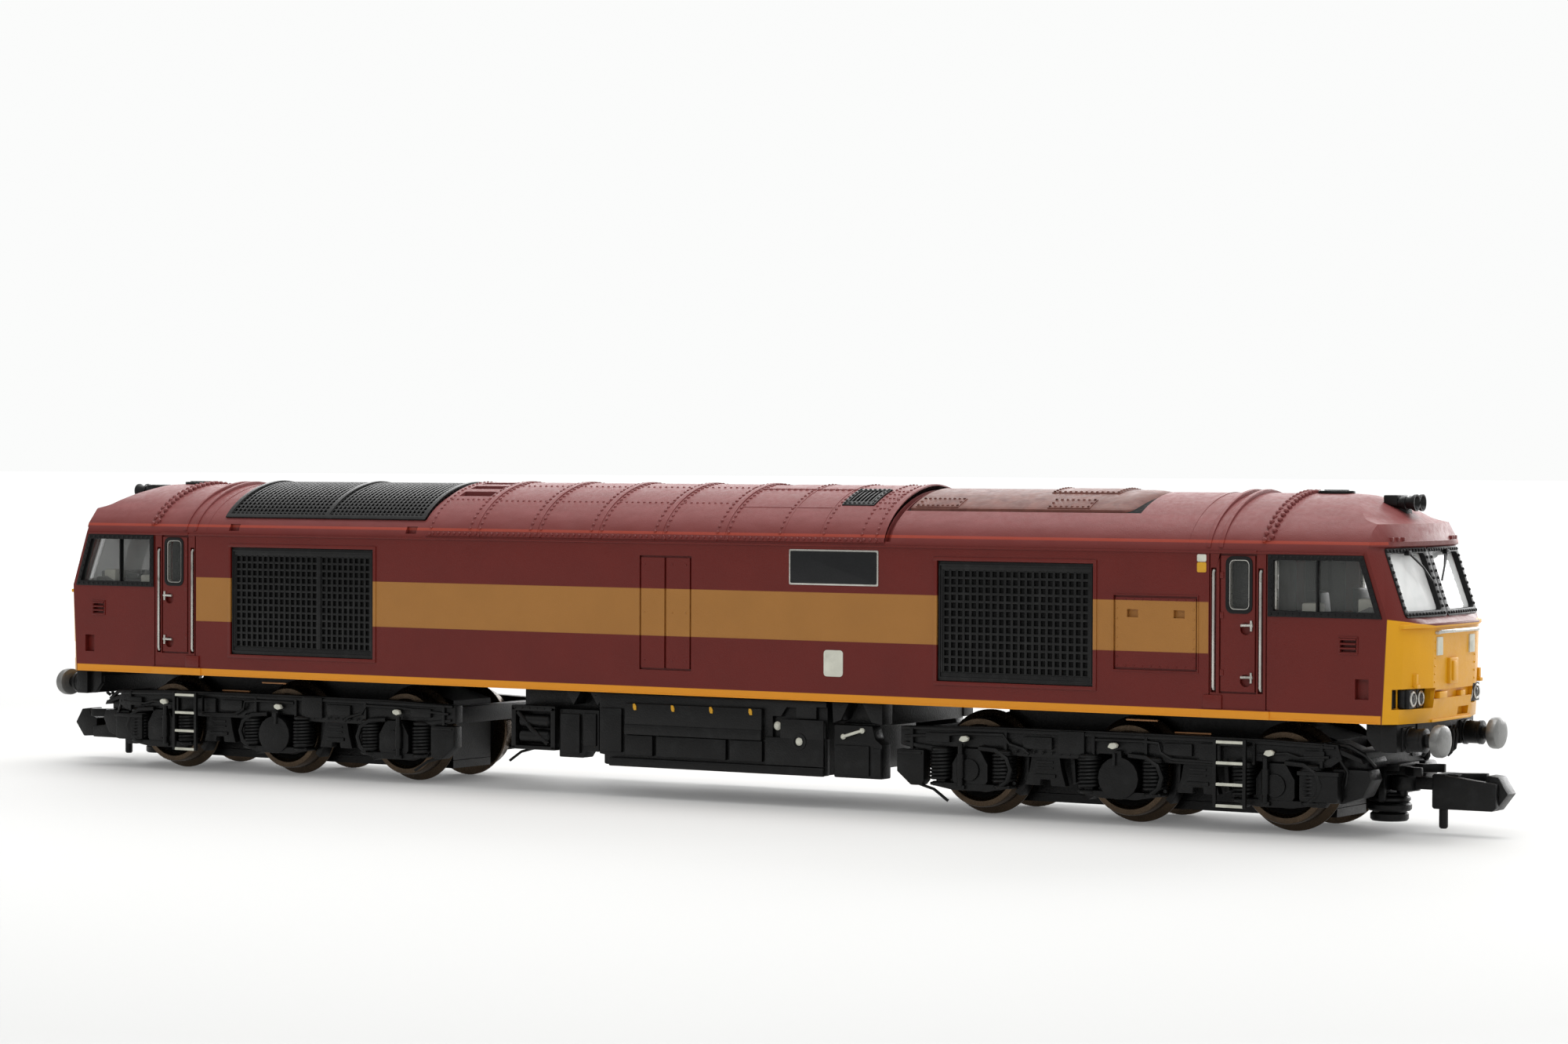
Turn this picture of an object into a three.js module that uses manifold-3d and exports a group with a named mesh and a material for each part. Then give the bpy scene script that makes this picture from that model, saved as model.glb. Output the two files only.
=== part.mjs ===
// A model diesel locomotive in 1:148 scale (N gauge): a long body shell with a cab at each end, on a
// die-cast chassis with a central motor that drives six axles in two swivelling bogies.
// Millimetres. X runs along it, Y across it, Z up. Z = 0 is the lowest point of the wheel flanges.

import * as THREE from "three";
import { mergeVertices } from "three/addons/utils/BufferGeometryUtils.js";
import Module from "manifold-3d";

const wasm = await Module();
wasm.setup();

// ---------- driving dimensions ----------

const HALF_WIDTH = 8.92;
const BODY_BOTTOM = 9.2;
const SIDE_TOP = 22.4;
const ROOF_RISE = 4.8;
const ROOF_POWER = 1.75;
const ROOF_STEPS = 14;
const RAISED_ROOF = 0.45;
const WALL = 0.9;
const FIT = 0.05;

const BOGIE_CENTRE = 44.22;
const AXLE_SPACING = 13.95;
const AXLE_Z = 4.4;
const FLANGE_R = 4.4;
const TREAD_R = 3.775;
const WHEEL_BACK = 3.75;
const FLANGE_FACE = 4.1;
const WHEEL_FACE = 5.9;
const AXLE_R = 0.75;
const AXLE_TIP = 6.75;
const ROUND = 16;

const GEAR_MODULE = 0.5;
const AXLE_TEETH = 10;
const IDLER_TEETH = 20;
const WORM_GEAR_TEETH = 12;
const TOOTH_RELIEF = 0.1;
const GEAR_HALF = 0.8;
const WORM_R = 1.5;
const WORM_HALF = 3.6;

const BUFFER_Y = 5.89;
const BUFFER_Z = 7.87;
const BUFFER_FACE = 72.0;
const BEAM_FACE = 68.7;
const COUPLER_TIP = 76.3;
const COUPLER_PIVOT = 21.6;

// ---------- derived gear positions ----------

const pitchRadius = (teeth) => (GEAR_MODULE * teeth) / 2;
const legUp = (distance, across) => Math.sqrt(distance * distance - across * across);
const IDLER_X = AXLE_SPACING / 2;
const IDLER_Z = AXLE_Z + legUp(pitchRadius(AXLE_TEETH + IDLER_TEETH), IDLER_X);
const WORM_GEAR_Z = IDLER_Z + legUp(pitchRadius(WORM_GEAR_TEETH + IDLER_TEETH), IDLER_X);
const MOTOR_Z = WORM_GEAR_Z + pitchRadius(WORM_GEAR_TEETH) + WORM_R;

// ---------- materials ----------

const finish = (color, roughness, metalness) => new THREE.MeshStandardMaterial({ color, roughness,
    metalness });
const MAROON = finish(0x5f2623, 0.4, 0);
const BLACK = finish(0x232323, 0.5, 0);
const UNDERFRAME = finish(0x232526, 0.6, 0);
const WEATHERED = finish(0x82503f, 0.7, 0);
const GLASS = finish(0xdfe4e6, 0.1, 0);
const GREY = finish(0x55585a, 0.6, 0);
const DIECAST = finish(0x8a8c8e, 0.5, 0.8);
const STEEL = finish(0xb0b2b4, 0.3, 0.9);
const BRASS = finish(0xb08d3c, 0.3, 0.9);
const TYRE = finish(0x5a4b3c, 0.4, 0.8);
const NYLON = finish(0xd8d4c4, 0.6, 0);
const BOARD = finish(0x1f4d2c, 0.5, 0);

// ---------- solid helpers ----------

function signedVolume(positions, triangles) {
  const corner = (i) => new THREE.Vector3().fromArray(positions, triangles[i] * 3);
  let sum = 0;
  for (let i = 0; i < triangles.length; i += 3) {
    sum += corner(i).dot(corner(i + 1).cross(corner(i + 2)));
  }
  return sum;
}

function properTriangles(index) {
  const triangles = [];
  for (let i = 0; i < index.length; i += 3) {
    const [a, b, c] = index.slice(i, i + 3);
    if (a !== b && b !== c && c !== a) {
      triangles.push(a, b, c);
    }
  }
  return triangles;
}

function solid(geometry) {
  geometry.deleteAttribute("normal");
  geometry.deleteAttribute("uv");
  const merged = mergeVertices(geometry, 1e-5);
  const positions = merged.getAttribute("position").array;
  const triangles = properTriangles(merged.index.array);
  if (signedVolume(positions, triangles) < 0) {
    triangles.reverse();
  }
  const mesh = { numProp: 3, vertProperties: Float32Array.from(positions),
      triVerts: Uint32Array.from(triangles) };
  return new wasm.Manifold(new wasm.Mesh(mesh));
}

function toMesh(name, body, material) {
  const result = body.getMesh();
  const geometry = new THREE.BufferGeometry();
  geometry.setAttribute("position", new THREE.BufferAttribute(result.vertProperties, 3));
  geometry.setIndex(new THREE.BufferAttribute(result.triVerts, 1));
  geometry.computeVertexNormals();
  const mesh = new THREE.Mesh(geometry, material);
  mesh.name = name;
  return mesh;
}

function box(x0, x1, y0, y1, z0, z1) {
  const geometry = new THREE.BoxGeometry(x1 - x0, y1 - y0, z1 - z0);
  geometry.translate((x0 + x1) / 2, (y0 + y1) / 2, (z0 + z1) / 2);
  return solid(geometry);
}

function extrude(points, depth) {
  const shape = new THREE.Shape(points.map(([a, b]) => new THREE.Vector2(a, b)));
  return new THREE.ExtrudeGeometry(shape, { depth, bevelEnabled: false });
}

const AXES_FOR = {
  x: [new THREE.Vector3(0, 1, 0), new THREE.Vector3(0, 0, 1), new THREE.Vector3(1, 0, 0)],
  y: [new THREE.Vector3(0, 0, 1), new THREE.Vector3(1, 0, 0), new THREE.Vector3(0, 1, 0)],
};

// An outline of [y, z] points drawn out along X.
function prismX(points, x0, x1) {
  const geometry = extrude(points, x1 - x0);
  geometry.applyMatrix4(new THREE.Matrix4().makeBasis(...AXES_FOR.x));
  geometry.translate(x0, 0, 0);
  return solid(geometry);
}

// An outline of [x, z] points drawn out along Y.
function prismY(points, y0, y1) {
  const geometry = extrude(points.map(([x, z]) => [z, x]), y1 - y0);
  geometry.applyMatrix4(new THREE.Matrix4().makeBasis(...AXES_FOR.y));
  geometry.translate(0, y0, 0);
  return solid(geometry);
}

// A round body about the line parallel to Y through (x, z), from a profile of [radius, y] points.
function turnedY(profile, x, z, sides = ROUND) {
  const geometry = new THREE.LatheGeometry(profile.map(([r, y]) => new THREE.Vector2(r, y)), sides);
  geometry.translate(x, 0, z);
  return solid(geometry);
}

// A round body about the line parallel to X through (y, z), from a profile of [radius, x] points.
function turnedX(profile, y, z, sides = ROUND) {
  const geometry = new THREE.LatheGeometry(profile.map(([r, x]) => new THREE.Vector2(r, x)), sides);
  geometry.rotateZ(-Math.PI / 2);
  geometry.translate(0, y, z);
  return solid(geometry);
}

const rodProfile = (r, a, b) => [[0, a], [r, a], [r, b], [0, b]];
const rodX = (r, x0, x1, y, z, sides) => turnedX(rodProfile(r, x0, x1), y, z, sides);
const rodY = (r, y0, y1, x, z, sides) => turnedY(rodProfile(r, y0, y1), x, z, sides);
const union = (bodies) => bodies.reduce((sum, body) => sum.add(body));
const cut = (body, cutters) => cutters.reduce((rest, cutter) => rest.subtract(cutter), body);

// ---------- body envelope ----------

// Half of the cross-section's roof, from the side's top edge to the apex, as a superellipse.
function roofPoint(step, inset, rise) {
  const angle = (Math.PI * step) / ROOF_STEPS;
  const across = Math.sign(Math.cos(angle)) * Math.abs(Math.cos(angle)) ** (2 / ROOF_POWER);
  const up = Math.sin(angle) ** (2 / ROOF_POWER);
  return [(HALF_WIDTH - inset) * across, SIDE_TOP + (rise - inset) * up];
}

function crossSection(inset, bottom, rise = ROOF_RISE) {
  const points = [[HALF_WIDTH - inset, bottom]];
  for (let step = 0; step <= ROOF_STEPS; step++) {
    points.push(roofPoint(step, inset, rise));
  }
  points.push([inset - HALF_WIDTH, bottom]);
  return points;
}

// The cab end in plan at rising heights: where the flat side ends, the corner, the flank and the centre.
const CAB_LEVELS = [
  { z: 9.2, side: 67.8, corner: [68.8, 8.0], flank: [69.86, 4.11], centre: 69.88 },
  { z: 11.9, side: 67.9, corner: [69.0, 7.85], flank: [70.2, 4.4], centre: 70.22 },
  { z: 16.84, side: 68.2, corner: [69.15, 7.75], flank: [70.28, 4.4], centre: 70.32 },
  { z: 17.45, side: 68.22, corner: [69.09, 7.45], flank: [69.38, 4.3], centre: 69.55 },
  { z: 22.97, side: 66.35, corner: [67.18, 7.5], flank: [67.45, 4.4], centre: 67.62 },
  { z: 23.1, side: 66.4, corner: [67.4, 7.52], flank: [67.75, 4.6], centre: 68.0 },
  { z: 24.05, side: 66.2, corner: [67.1, 7.1], flank: [67.83, 4.8], centre: 68.2 },
  { z: 24.7, side: 65.6, corner: [66.4, 6.8], flank: [67.3, 4.8], centre: 67.8 },
  { z: 25.1, side: 64.9, corner: [65.8, 6.4], flank: [66.7, 4.4], centre: 67.3 },
  { z: 25.7, side: 63.8, corner: [64.7, 6.0], flank: [65.6, 3.8], centre: 66.2 },
  { z: 26.4, side: 62.3, corner: [63.2, 5.4], flank: [64.1, 3.2], centre: 64.9 },
  { z: 27.0, side: 60.3, corner: [61.0, 4.6], flank: [62.4, 2.6], centre: 63.4 },
  { z: 27.22, side: 58.0, corner: [59.0, 4.4], flank: [60.5, 2.4], centre: 61.2 },
  { z: 28.5, side: 57.6, corner: [58.6, 4.4], flank: [60.1, 2.4], centre: 60.8 },
];
const INSET_SHOULDER = 20;

function levelRing({ z, side, corner, flank, centre }, inset) {
  const narrow = inset * 0.5;
  const edge = HALF_WIDTH + 1;
  const half = [
    [side - inset, -edge],
    [side - inset, -HALF_WIDTH],
    [corner[0] - inset, narrow - corner[1]],
    [flank[0] - inset, narrow - flank[1]],
    [centre - inset, 0],
  ];
  const front = [...half, ...half.slice(0, -1).reverse().map(([x, y]) => [x, -y])];
  const rear = front.map(([x, y]) => [-x, -y]);
  const height = z > INSET_SHOULDER ? z - inset * 0.8 : z;
  return [...front, ...rear].map(([x, y]) => [x, y, height]);
}

function capFan(count, offset, upward) {
  const triangles = [];
  const half = count / 2;
  for (let i = 0; i < half - 1; i++) {
    const a = offset + i;
    const b = offset + i + 1;
    const c = offset + count - 1 - i;
    const d = offset + count - 2 - i;
    triangles.push(...(upward ? [a, b, c, b, d, c] : [a, c, b, b, c, d]));
  }
  return triangles;
}

// Both cab ends and everything between them, as a stack of plan outlines.
function planStack(inset, drop) {
  const rings = CAB_LEVELS.map((level) => levelRing(level, inset));
  rings[0].forEach((point) => {
    point[2] -= drop;
  });
  const count = rings[0].length;
  const triangles = [...capFan(count, 0, false), ...capFan(count, count * (rings.length - 1), true)];
  for (let row = 0; row < rings.length - 1; row++) {
    for (let i = 0; i < count; i++) {
      const a = row * count + i;
      const b = row * count + ((i + 1) % count);
      triangles.push(a, b, b + count, a, b + count, a + count);
    }
  }
  const geometry = new THREE.BufferGeometry();
  geometry.setAttribute("position", new THREE.Float32BufferAttribute(rings.flat(2), 3));
  geometry.setIndex(triangles);
  return solid(geometry);
}

function envelope(inset, drop = 0) {
  const section = prismX(crossSection(inset, BODY_BOTTOM - drop - 0.5), -74, 74);
  return planStack(inset, drop).intersect(section);
}

// ---------- window and opening outlines on the side, for the cab at +X ----------

const SIDE_WINDOW = [[58.45, 17.85], [67.5, 17.85], [65.95, 22.0], [58.45, 22.0]];
const DOOR_WINDOW = [[54.6, 17.8], [56.4, 17.8], [56.5, 18.1], [56.5, 21.7], [56.2, 22.0], [54.8, 22.0],
    [54.5, 21.7],
  [54.5, 18.1]];
const WINDSCREEN = { inner: 0.55, outer: 6.95, bottom: 17.95, top: 22.55 };

function shrink(points, gap) {
  const cx = points.reduce((sum, [x]) => sum + x, 0) / points.length;
  const cz = points.reduce((sum, [, z]) => sum + z, 0) / points.length;
  return points.map(([x, z]) => [x - Math.sign(x - cx) * gap, z - Math.sign(z - cz) * gap]);
}

function windowCutters(gap) {
  const { inner, outer, bottom, top } = WINDSCREEN;
  const cutters = [];
  for (const side of [-1, 1]) {
    const [y0, y1] = side < 0 ? [-10, -6.8] : [6.8, 10];
    cutters.push(prismY(shrink(SIDE_WINDOW, gap), y0, y1));
    cutters.push(prismY(shrink(DOOR_WINDOW, gap), y0, y1));
    const [a, b] = side < 0 ? [-outer, -inner] : [inner, outer];
    cutters.push(box(65.2, 72, a + gap, b - gap, bottom + gap, top - gap));
  }
  return cutters;
}

const halfTurn = (body) => body.rotate([0, 0, 180]);

// ---------- body shell ----------

const ROOF_RIBS = [[52.4, 54.1], [57.6, 58.1], [-54.5, -52.8], [-58.35, -57.85]];
const RAISED_SPAN = [-25.7, 22.6];
const ROOF_GRILLE = { x0: -49.9, x1: -26.3, edge: 8.15 };
const SILENCER = { x0: 23.2, x1: 45.4, edge: 6.1 };
const ROOF_VENT = { x0: 16.7, x1: 20.0, y0: -6.1, y1: -2.9 };
const SIDE_GRILLES = [[27.75, 42.45], [-48.57, -31.68]];
const GRILLE_Z = [11.3, 21.4];
const RECESS_DEPTH = 0.4;
const RIB_HEIGHT = 0.22;

function roofBand(x0, x1) {
  const outer = prismX(crossSection(-RIB_HEIGHT, SIDE_TOP), x0, x1);
  return outer.subtract(prismX(crossSection(WALL * 0.5, SIDE_TOP - 1), x0 - 1, x1 + 1));
}

function raisedRoof() {
  const section = crossSection(-0.08, SIDE_TOP, ROOF_RISE + RAISED_ROOF);
  const inner = prismX(crossSection(WALL * 0.5, SIDE_TOP - 1), -60, 60);
  return prismX(section, ...RAISED_SPAN).subtract(inner);
}

function doorRecesses() {
  const cutters = [];
  for (const side of [-1, 1]) {
    const face = side * HALF_WIDTH;
    const [y0, y1] = side < 0 ? [face - 1, face + 0.25] : [face - 0.25, face + 1];
    cutters.push(box(53.9, 57.15, y0, y1, 11.2, 22.4));
    cutters.push(box(52.5, 54.1, y0 - side * 0.25, y1 - side * 0.25, 8, 11.05));
    cutters.push(box(65.54, 66.69, y0, y1, 11.1, 12.7));
  }
  return cutters;
}

function noseCutters() {
  const lampBay = box(68.95, 72, -8.35, 8.35, 10.35, 11.95);
  const sidePocket = (side) => box(68.25, 72, Math.min(side * 7.2, side * 9.2), Math.max(side * 7.2,
      side * 9.2), 10.35,
    11.95);
  return [lampBay, sidePocket(1), sidePocket(-1)];
}

function grilleRecesses() {
  const cutters = [];
  for (const [x0, x1] of SIDE_GRILLES) {
    cutters.push(box(x0, x1, -10, RECESS_DEPTH - HALF_WIDTH, ...GRILLE_Z));
    cutters.push(box(x0, x1, HALF_WIDTH - RECESS_DEPTH, 10, ...GRILLE_Z));
  }
  return cutters;
}

function lampClusters() {
  const lamp = (side) => {
    const lens = (y) => rodX(0.58, 68.9, 69.25, side * y, 11.12, 10);
    const [y0, y1] = side < 0 ? [-7.6, -4.1] : [4.1, 7.6];
    return union([box(68.5, 69.1, y0, y1, 10.4, 11.9), lens(5.06), lens(6.56)]);
  };
  return [lamp(-1), lamp(1)];
}

function makeBodyShell() {
  let shell = envelope(0).subtract(envelope(WALL, 2));
  shell = shell.add(raisedRoof());
  shell = union([shell, ...ROOF_RIBS.map((span) => roofBand(...span))]);
  const openings = [...windowCutters(0), ...doorRecesses(), ...noseCutters()];
  const both = [...openings, ...openings.map(halfTurn)];
  const roofOpenings = [roofCutter(ROOF_GRILLE, 0.3), roofCutter(SILENCER, WALL + 1), ventCutter()];
  shell = cut(shell, [...both, ...grilleRecesses(), ...roofOpenings]);
  const lamps = lampClusters();
  return union([shell, ...lamps, ...lamps.map(halfTurn)]);
}

// A cutter that takes the roof away, down to a depth below its surface, between two lengthways edges.
function roofCutter({ x0, x1, edge }, depth) {
  const block = box(x0, x1, -edge, edge, 18, 40);
  return block.subtract(prismX(crossSection(depth, 9), x0 - 1, x1 + 1));
}

function ventCutter() {
  const { x0, x1, y0, y1 } = ROOF_VENT;
  return box(x0, x1, y0, y1, 20, 40).subtract(prismX(crossSection(0.1, 9), x0 - 1, x1 + 1));
}

// ---------- roof and side fittings ----------

function makeRoofGrille() {
  const { x0, x1, edge } = ROOF_GRILLE;
  const section = crossSection(-0.1, 18, ROOF_RISE + RAISED_ROOF - 0.1);
  const plate = prismX(section, x0 + FIT, x1 - FIT).subtract(prismX(crossSection(0.25, 9), x0 - 1, x1 + 1));
  return plate.intersect(box(x0, x1, -edge + FIT, edge - FIT, 18, 40));
}

function makeSilencer() {
  const { x0, x1, edge } = SILENCER;
  const shape = prismX(crossSection(0.05, 18), x0 + FIT, x1 - FIT);
  const hollow = prismX(crossSection(1.2, 17), x0 - 1, x1 + 1);
  return shape.subtract(hollow).intersect(box(x0, x1, -edge + FIT, edge - FIT, 18, 40));
}

function makeRoofVent() {
  const { x0, x1, y0, y1 } = ROOF_VENT;
  const shape = prismX(crossSection(-0.15, 18, ROOF_RISE + RAISED_ROOF), x0 + FIT, x1 - FIT);
  const below = prismX(crossSection(0.05, 9), x0 - 1, x1 + 1);
  return shape.subtract(below).intersect(box(x0, x1, y0 + FIT, y1 - FIT, 18, 40));
}

function makeSideGrille([x0, x1], side) {
  const [z0, z1] = GRILLE_Z;
  const rim = 0.6;
  const [back, front] = [HALF_WIDTH - RECESS_DEPTH + FIT, HALF_WIDTH];
  const frame = box(x0 + FIT, x1 - FIT, back, front, z0 + FIT, z1 - FIT);
  const panel = frame.subtract(box(x0 + rim, x1 - rim, back + 0.15, front + 1, z0 + rim, z1 - rim));
  return side > 0 ? panel : panel.mirror([0, 1, 0]);
}

function makeHorn() {
  const bell = (y, reach) => turnedX([[0, 64.4], [0.42, 64.4], [0.42, 65.9], [0.36, 66.0], [0.62,
      reach - 0.35],
    [0.62, reach], [0, reach - 0.2]], y, 26.55, 10);
  const bracket = box(64.9, 66.0, -0.55, 0.55, 26.0, 26.9);
  const foot = box(65.1, 66.1, -0.5, 0.5, 25.6, 26.2);
  const roof = envelope(-FIT);
  return union([bell(-0.66, 67.2), bell(0.66, 66.85), bracket, foot]).subtract(roof);
}

function makeRoofPod() {
  const plan = (r) => [[0, 58.3], [r, 58.7], [r, 61.2], [0, 61.6]];
  const pod = turnedX(plan(0.9), 0, 27.0, 14);
  return pod.intersect(box(58, 62, -0.8, 0.8, 27.25, 27.5));
}

// ---------- cab interiors and glazing ----------

const GLASS_THICK = 0.4;

function makeGlazing() {
  const outer = envelope(WALL + FIT);
  const inner = envelope(WALL + FIT + GLASS_THICK, 2);
  const band = outer.subtract(inner).intersect(box(53.7, 72, -10, 10, 17.4, 22.6));
  const panes = windowCutters(FIT).map((cutter) => envelope(0.3).intersect(cutter).subtract(inner));
  return union([band, ...panes]).intersect(box(53.7, 72, -10, 10, 17.4, 22.6));
}

function makeCabInterior() {
  const floor = box(53.2, 66.2, -7.0, 7.0, 13.2, 13.8);
  const bulkhead = box(52.6, 53.2, -7.2, 7.2, 13.2, 22.2);
  const console = prismY([[63.2, 13.8], [66.2, 13.8], [67.2, 16.0], [67.0, 17.2], [64.6, 17.6], [63.6,
      16.8]], -6.2, 6.2);
  const seat = (y) => union([
    box(58.8, 61.0, y - 1.3, y + 1.3, 13.8, 16.0),
    prismY([[58.2, 15.6], [59.2, 15.6], [58.8, 19.2], [58.0, 19.2]], y - 1.3, y + 1.3),
  ]);
  return union([floor, bulkhead, console, seat(-4), seat(4)]);
}

// ---------- chassis ----------

const TOWER_HALF = 2.9;

function makeChassis() {
  const deck = box(-66, 66, -7.8, 7.8, 9.35, 12.6);
  const block = box(-52, 52, -7.4, 7.4, 12.6, 21.0);
  const motorBay = box(-23, 23, -5.7, 5.7, 10.1, 30);
  const shaftWay = box(-52.5, 52.5, -2.3, 2.3, 13.0, 30);
  const well = (x) => box(x - 13.6, x + 13.6, -4.9, 4.9, 9, 30);
  const cabNotch = box(51, 67, -8, 8, 13.1, 30);
  const cutters = [motorBay, shaftWay, well(BOGIE_CENTRE), well(-BOGIE_CENTRE), cabNotch,
      halfTurn(cabNotch)];
  return cut(deck.add(block), cutters);
}

function makeTank() {
  const core = box(-16.4, 21.8, -7.2, 7.2, 3.8, 9.2);
  const tanks = [];
  for (const side of [-1, 1]) {
    const at = (points, y0, y1) => (side < 0 ? prismY(points, -y1, -y0) : prismY(points, y0, y1));
    tanks.push(at([[-7.15, 8.5], [-7.15, 4.0], [-6.5, 3.2], [-5.6, 2.9], [-4.2, 2.65], [16.5, 2.65],
        [16.5, 8.5]], 7, 8.5));
    tanks.push(at([[17.05, 7.3], [17.05, 2.6], [22.0, 2.6], [22.0, 7.3], [20.8, 6.4], [18.0, 6.4]], 7, 8.4));
    tanks.push(at([[-16.7, 7.7], [-16.7, 3.7], [-11.7, 3.7], [-11.7, 7.7]], 7, 8.3));
    tanks.push(at([[-11.7, 7.6], [-11.7, 3.15], [-9.6, 3.15], [-8.5, 4.2], [-8.5, 7.6]], 7, 7.9));
  }
  const belly = box(-7.0, 16.4, -8, 8, 2.65, 5);
  return union([core, belly, ...tanks]);
}

function makeBufferBeam() {
  const plate = box(67.3, BEAM_FACE, -8.0, 8.0, 6.9, 9.1);
  const tongue = box(63.6, 67.4, -3.6, 3.6, 8.5, 9.25);
  return plate.add(tongue);
}

function makeBuffer(side) {
  const y = side * BUFFER_Y;
  const barrel = turnedX([[0, BEAM_FACE + FIT], [1.25, BEAM_FACE + FIT], [1.25, 69.1], [1.0, 69.1], [1.0,
      70.2], [0.65, 70.2],
    [0.65, 71.6], [0, 71.6]], y, BUFFER_Z, 12);
  const face = new THREE.CylinderGeometry(1.2, 1.2, 0.5, 16);
  face.rotateZ(Math.PI / 2);
  face.scale(1, 1.33, 1);
  face.translate(BUFFER_FACE - 0.25, y, BUFFER_Z);
  return barrel.add(solid(face));
}

// ---------- motor and drive line ----------

function makeMotorCan() {
  const shell = box(-11.5, 11.5, -5.2, 5.2, MOTOR_Z - 4.9, MOTOR_Z + 4.9);
  const hollow = rodX(4.3, -10.5, 10.5, 0, MOTOR_Z, 12);
  return shell.subtract(hollow).subtract(rodX(0.95, -13, 13, 0, MOTOR_Z, 12));
}

function makeArmature() {
  const profile = [[0, -22.3], [0.75, -22.3], [0.75, -8], [3.6, -8], [3.6, 8], [0.75, 8], [0.75, 22.3],
      [0, 22.3]];
  return turnedX(profile, 0, MOTOR_Z, 12);
}

function makeFlywheel() {
  const wheel = rodX(4.3, 13.0, 21.6, 0, MOTOR_Z, 16);
  return wheel.subtract(rodX(0.9, 12, 23, 0, MOTOR_Z, 10));
}

function makeDriveShaft() {
  const profile = [[0, 22.6], [1.0, 22.6], [1.3, 23.3], [1.0, 24.2], [0.6, 24.2], [0.6, 36.2], [1.0,
      36.4], [1.3, 37.0],
    [1.0, 37.6], [0, 37.6]];
  return turnedX(profile, 0, MOTOR_Z, 12);
}

// ---------- gears ----------

function gearOutline(teeth, cx, cz) {
  const tip = pitchRadius(teeth) - TOOTH_RELIEF;
  const root = tip - GEAR_MODULE * 0.9;
  const points = [];
  for (let tooth = 0; tooth < teeth; tooth++) {
    [[0, root], [0.5, tip]].forEach(([part, radius]) => {
      const angle = (2 * Math.PI * (tooth + part)) / teeth;
      points.push([cx + radius * Math.cos(angle), cz + radius * Math.sin(angle)]);
    });
  }
  return points;
}

const gear = (teeth, cx, cz) => prismY(gearOutline(teeth, cx, cz), -GEAR_HALF, GEAR_HALF);

// A gear with stub pins that run in the walls of the gear tower.
function pinnedGear(teeth, cx, cz) {
  return gear(teeth, cx, cz).add(rodY(0.5, -2.4, 2.4, cx, cz, 8));
}

function makeWorm(x) {
  const around = 10;
  const along = 18;
  const pitch = GEAR_MODULE * Math.PI;
  const crest = WORM_R - TOOTH_RELIEF;
  const positions = [];
  for (let row = 0; row <= along; row++) {
    const at = -WORM_HALF + (2 * WORM_HALF * row) / along;
    for (let i = 0; i < around; i++) {
      const angle = (2 * Math.PI * i) / around;
      const wave = Math.cos(2 * Math.PI * (at / pitch) - angle);
      const radius = crest - 0.22 * (1 - wave);
      positions.push(x + at, radius * Math.cos(angle), MOTOR_Z + radius * Math.sin(angle));
    }
  }
  const triangles = [];
  for (let row = 0; row < along; row++) {
    for (let i = 0; i < around; i++) {
      const a = row * around + i;
      const b = row * around + ((i + 1) % around);
      triangles.push(a, b, b + around, a, b + around, a + around);
    }
  }
  for (let i = 1; i < around - 1; i++) {
    const last = along * around;
    triangles.push(0, i + 1, i, last, last + i, last + i + 1);
  }
  const geometry = new THREE.BufferGeometry();
  geometry.setAttribute("position", new THREE.Float32BufferAttribute(positions, 3));
  geometry.setIndex(triangles);
  return solid(geometry).add(rodX(0.65, x - 5.9, x + 5.3, 0, MOTOR_Z, 12));
}

function makeWheelset(x) {
  const upper = [[AXLE_R, WHEEL_BACK], [FLANGE_R, WHEEL_BACK], [FLANGE_R, FLANGE_FACE], [TREAD_R, 4.25],
    [TREAD_R - 0.05, WHEEL_FACE], [0.8, WHEEL_FACE], [0.45, AXLE_TIP], [0, AXLE_TIP]];
  const lower = upper.map(([r, y]) => [r, -y]).reverse();
  return turnedY([...lower, ...upper], x, AXLE_Z).add(gear(AXLE_TEETH, x, AXLE_Z));
}

// ---------- bogie parts, with the bogie's centre at x = 0 and its outer end at +X ----------

const AXLES = [-AXLE_SPACING, 0, AXLE_SPACING];

function makeGearTower() {
  const lower = prismY([[-17.2, 1.9], [17.2, 1.9], [17.2, 7.4], [12.8, 8.6], [12.8, 12.6], [-12.8, 12.6],
      [-12.8, 8.6],
    [-17.2, 7.4]], -TOWER_HALF, TOWER_HALF);
  const top = box(-4.8, 4.8, -TOWER_HALF, TOWER_HALF, 12.5, 17.8);
  const gearSlot = prismY([[-16.8, 1], [16.8, 1], [16.8, 7.1], [12.4, 8.3], [12.4, 12.2], [4, 12.3], [4,
      14], [-4, 14],
    [-4, 12.3], [-12.4, 12.2], [-12.4, 8.3], [-16.8, 7.1]], -1.15, 1.15);
  const wormBay = box(-3.9, 3.9, -1.75, 1.75, 13.6, 20);
  const wormBore = box(-7, 7, -0.8, 0.8, MOTOR_Z - 0.8, MOTOR_Z + 0.8);
  const axleSlots = AXLES.map((x) => box(x - 0.9, x + 0.9, -4, 4, 1, AXLE_Z + 0.9));
  const pins = [[-IDLER_X, IDLER_Z], [IDLER_X, IDLER_Z], [0, WORM_GEAR_Z]];
  const pinHoles = pins.map(([x, z]) => box(x - 0.6, x + 0.6, -2.5, 2.5, z - 0.6, z + 0.6));
  return cut(lower.add(top), [gearSlot, wormBay, wormBore, ...axleSlots, ...pinHoles]);
}

function makeKeeperPlate() {
  return box(-17.2, 17.2, -TOWER_HALF, TOWER_HALF, 1.15, 1.85);
}

const FRAME_INNER = 6.25;
const BEAM_OUTLINE = [[-20.9, 7.3], [-20.9, 5.5], [-18.4, 5.3], [18.6, 5.3], [19.6, 3.6], [21.9, 3.6],
    [21.9, 6.0],
  [19.4, 7.6], [-20.0, 7.6]];

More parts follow.
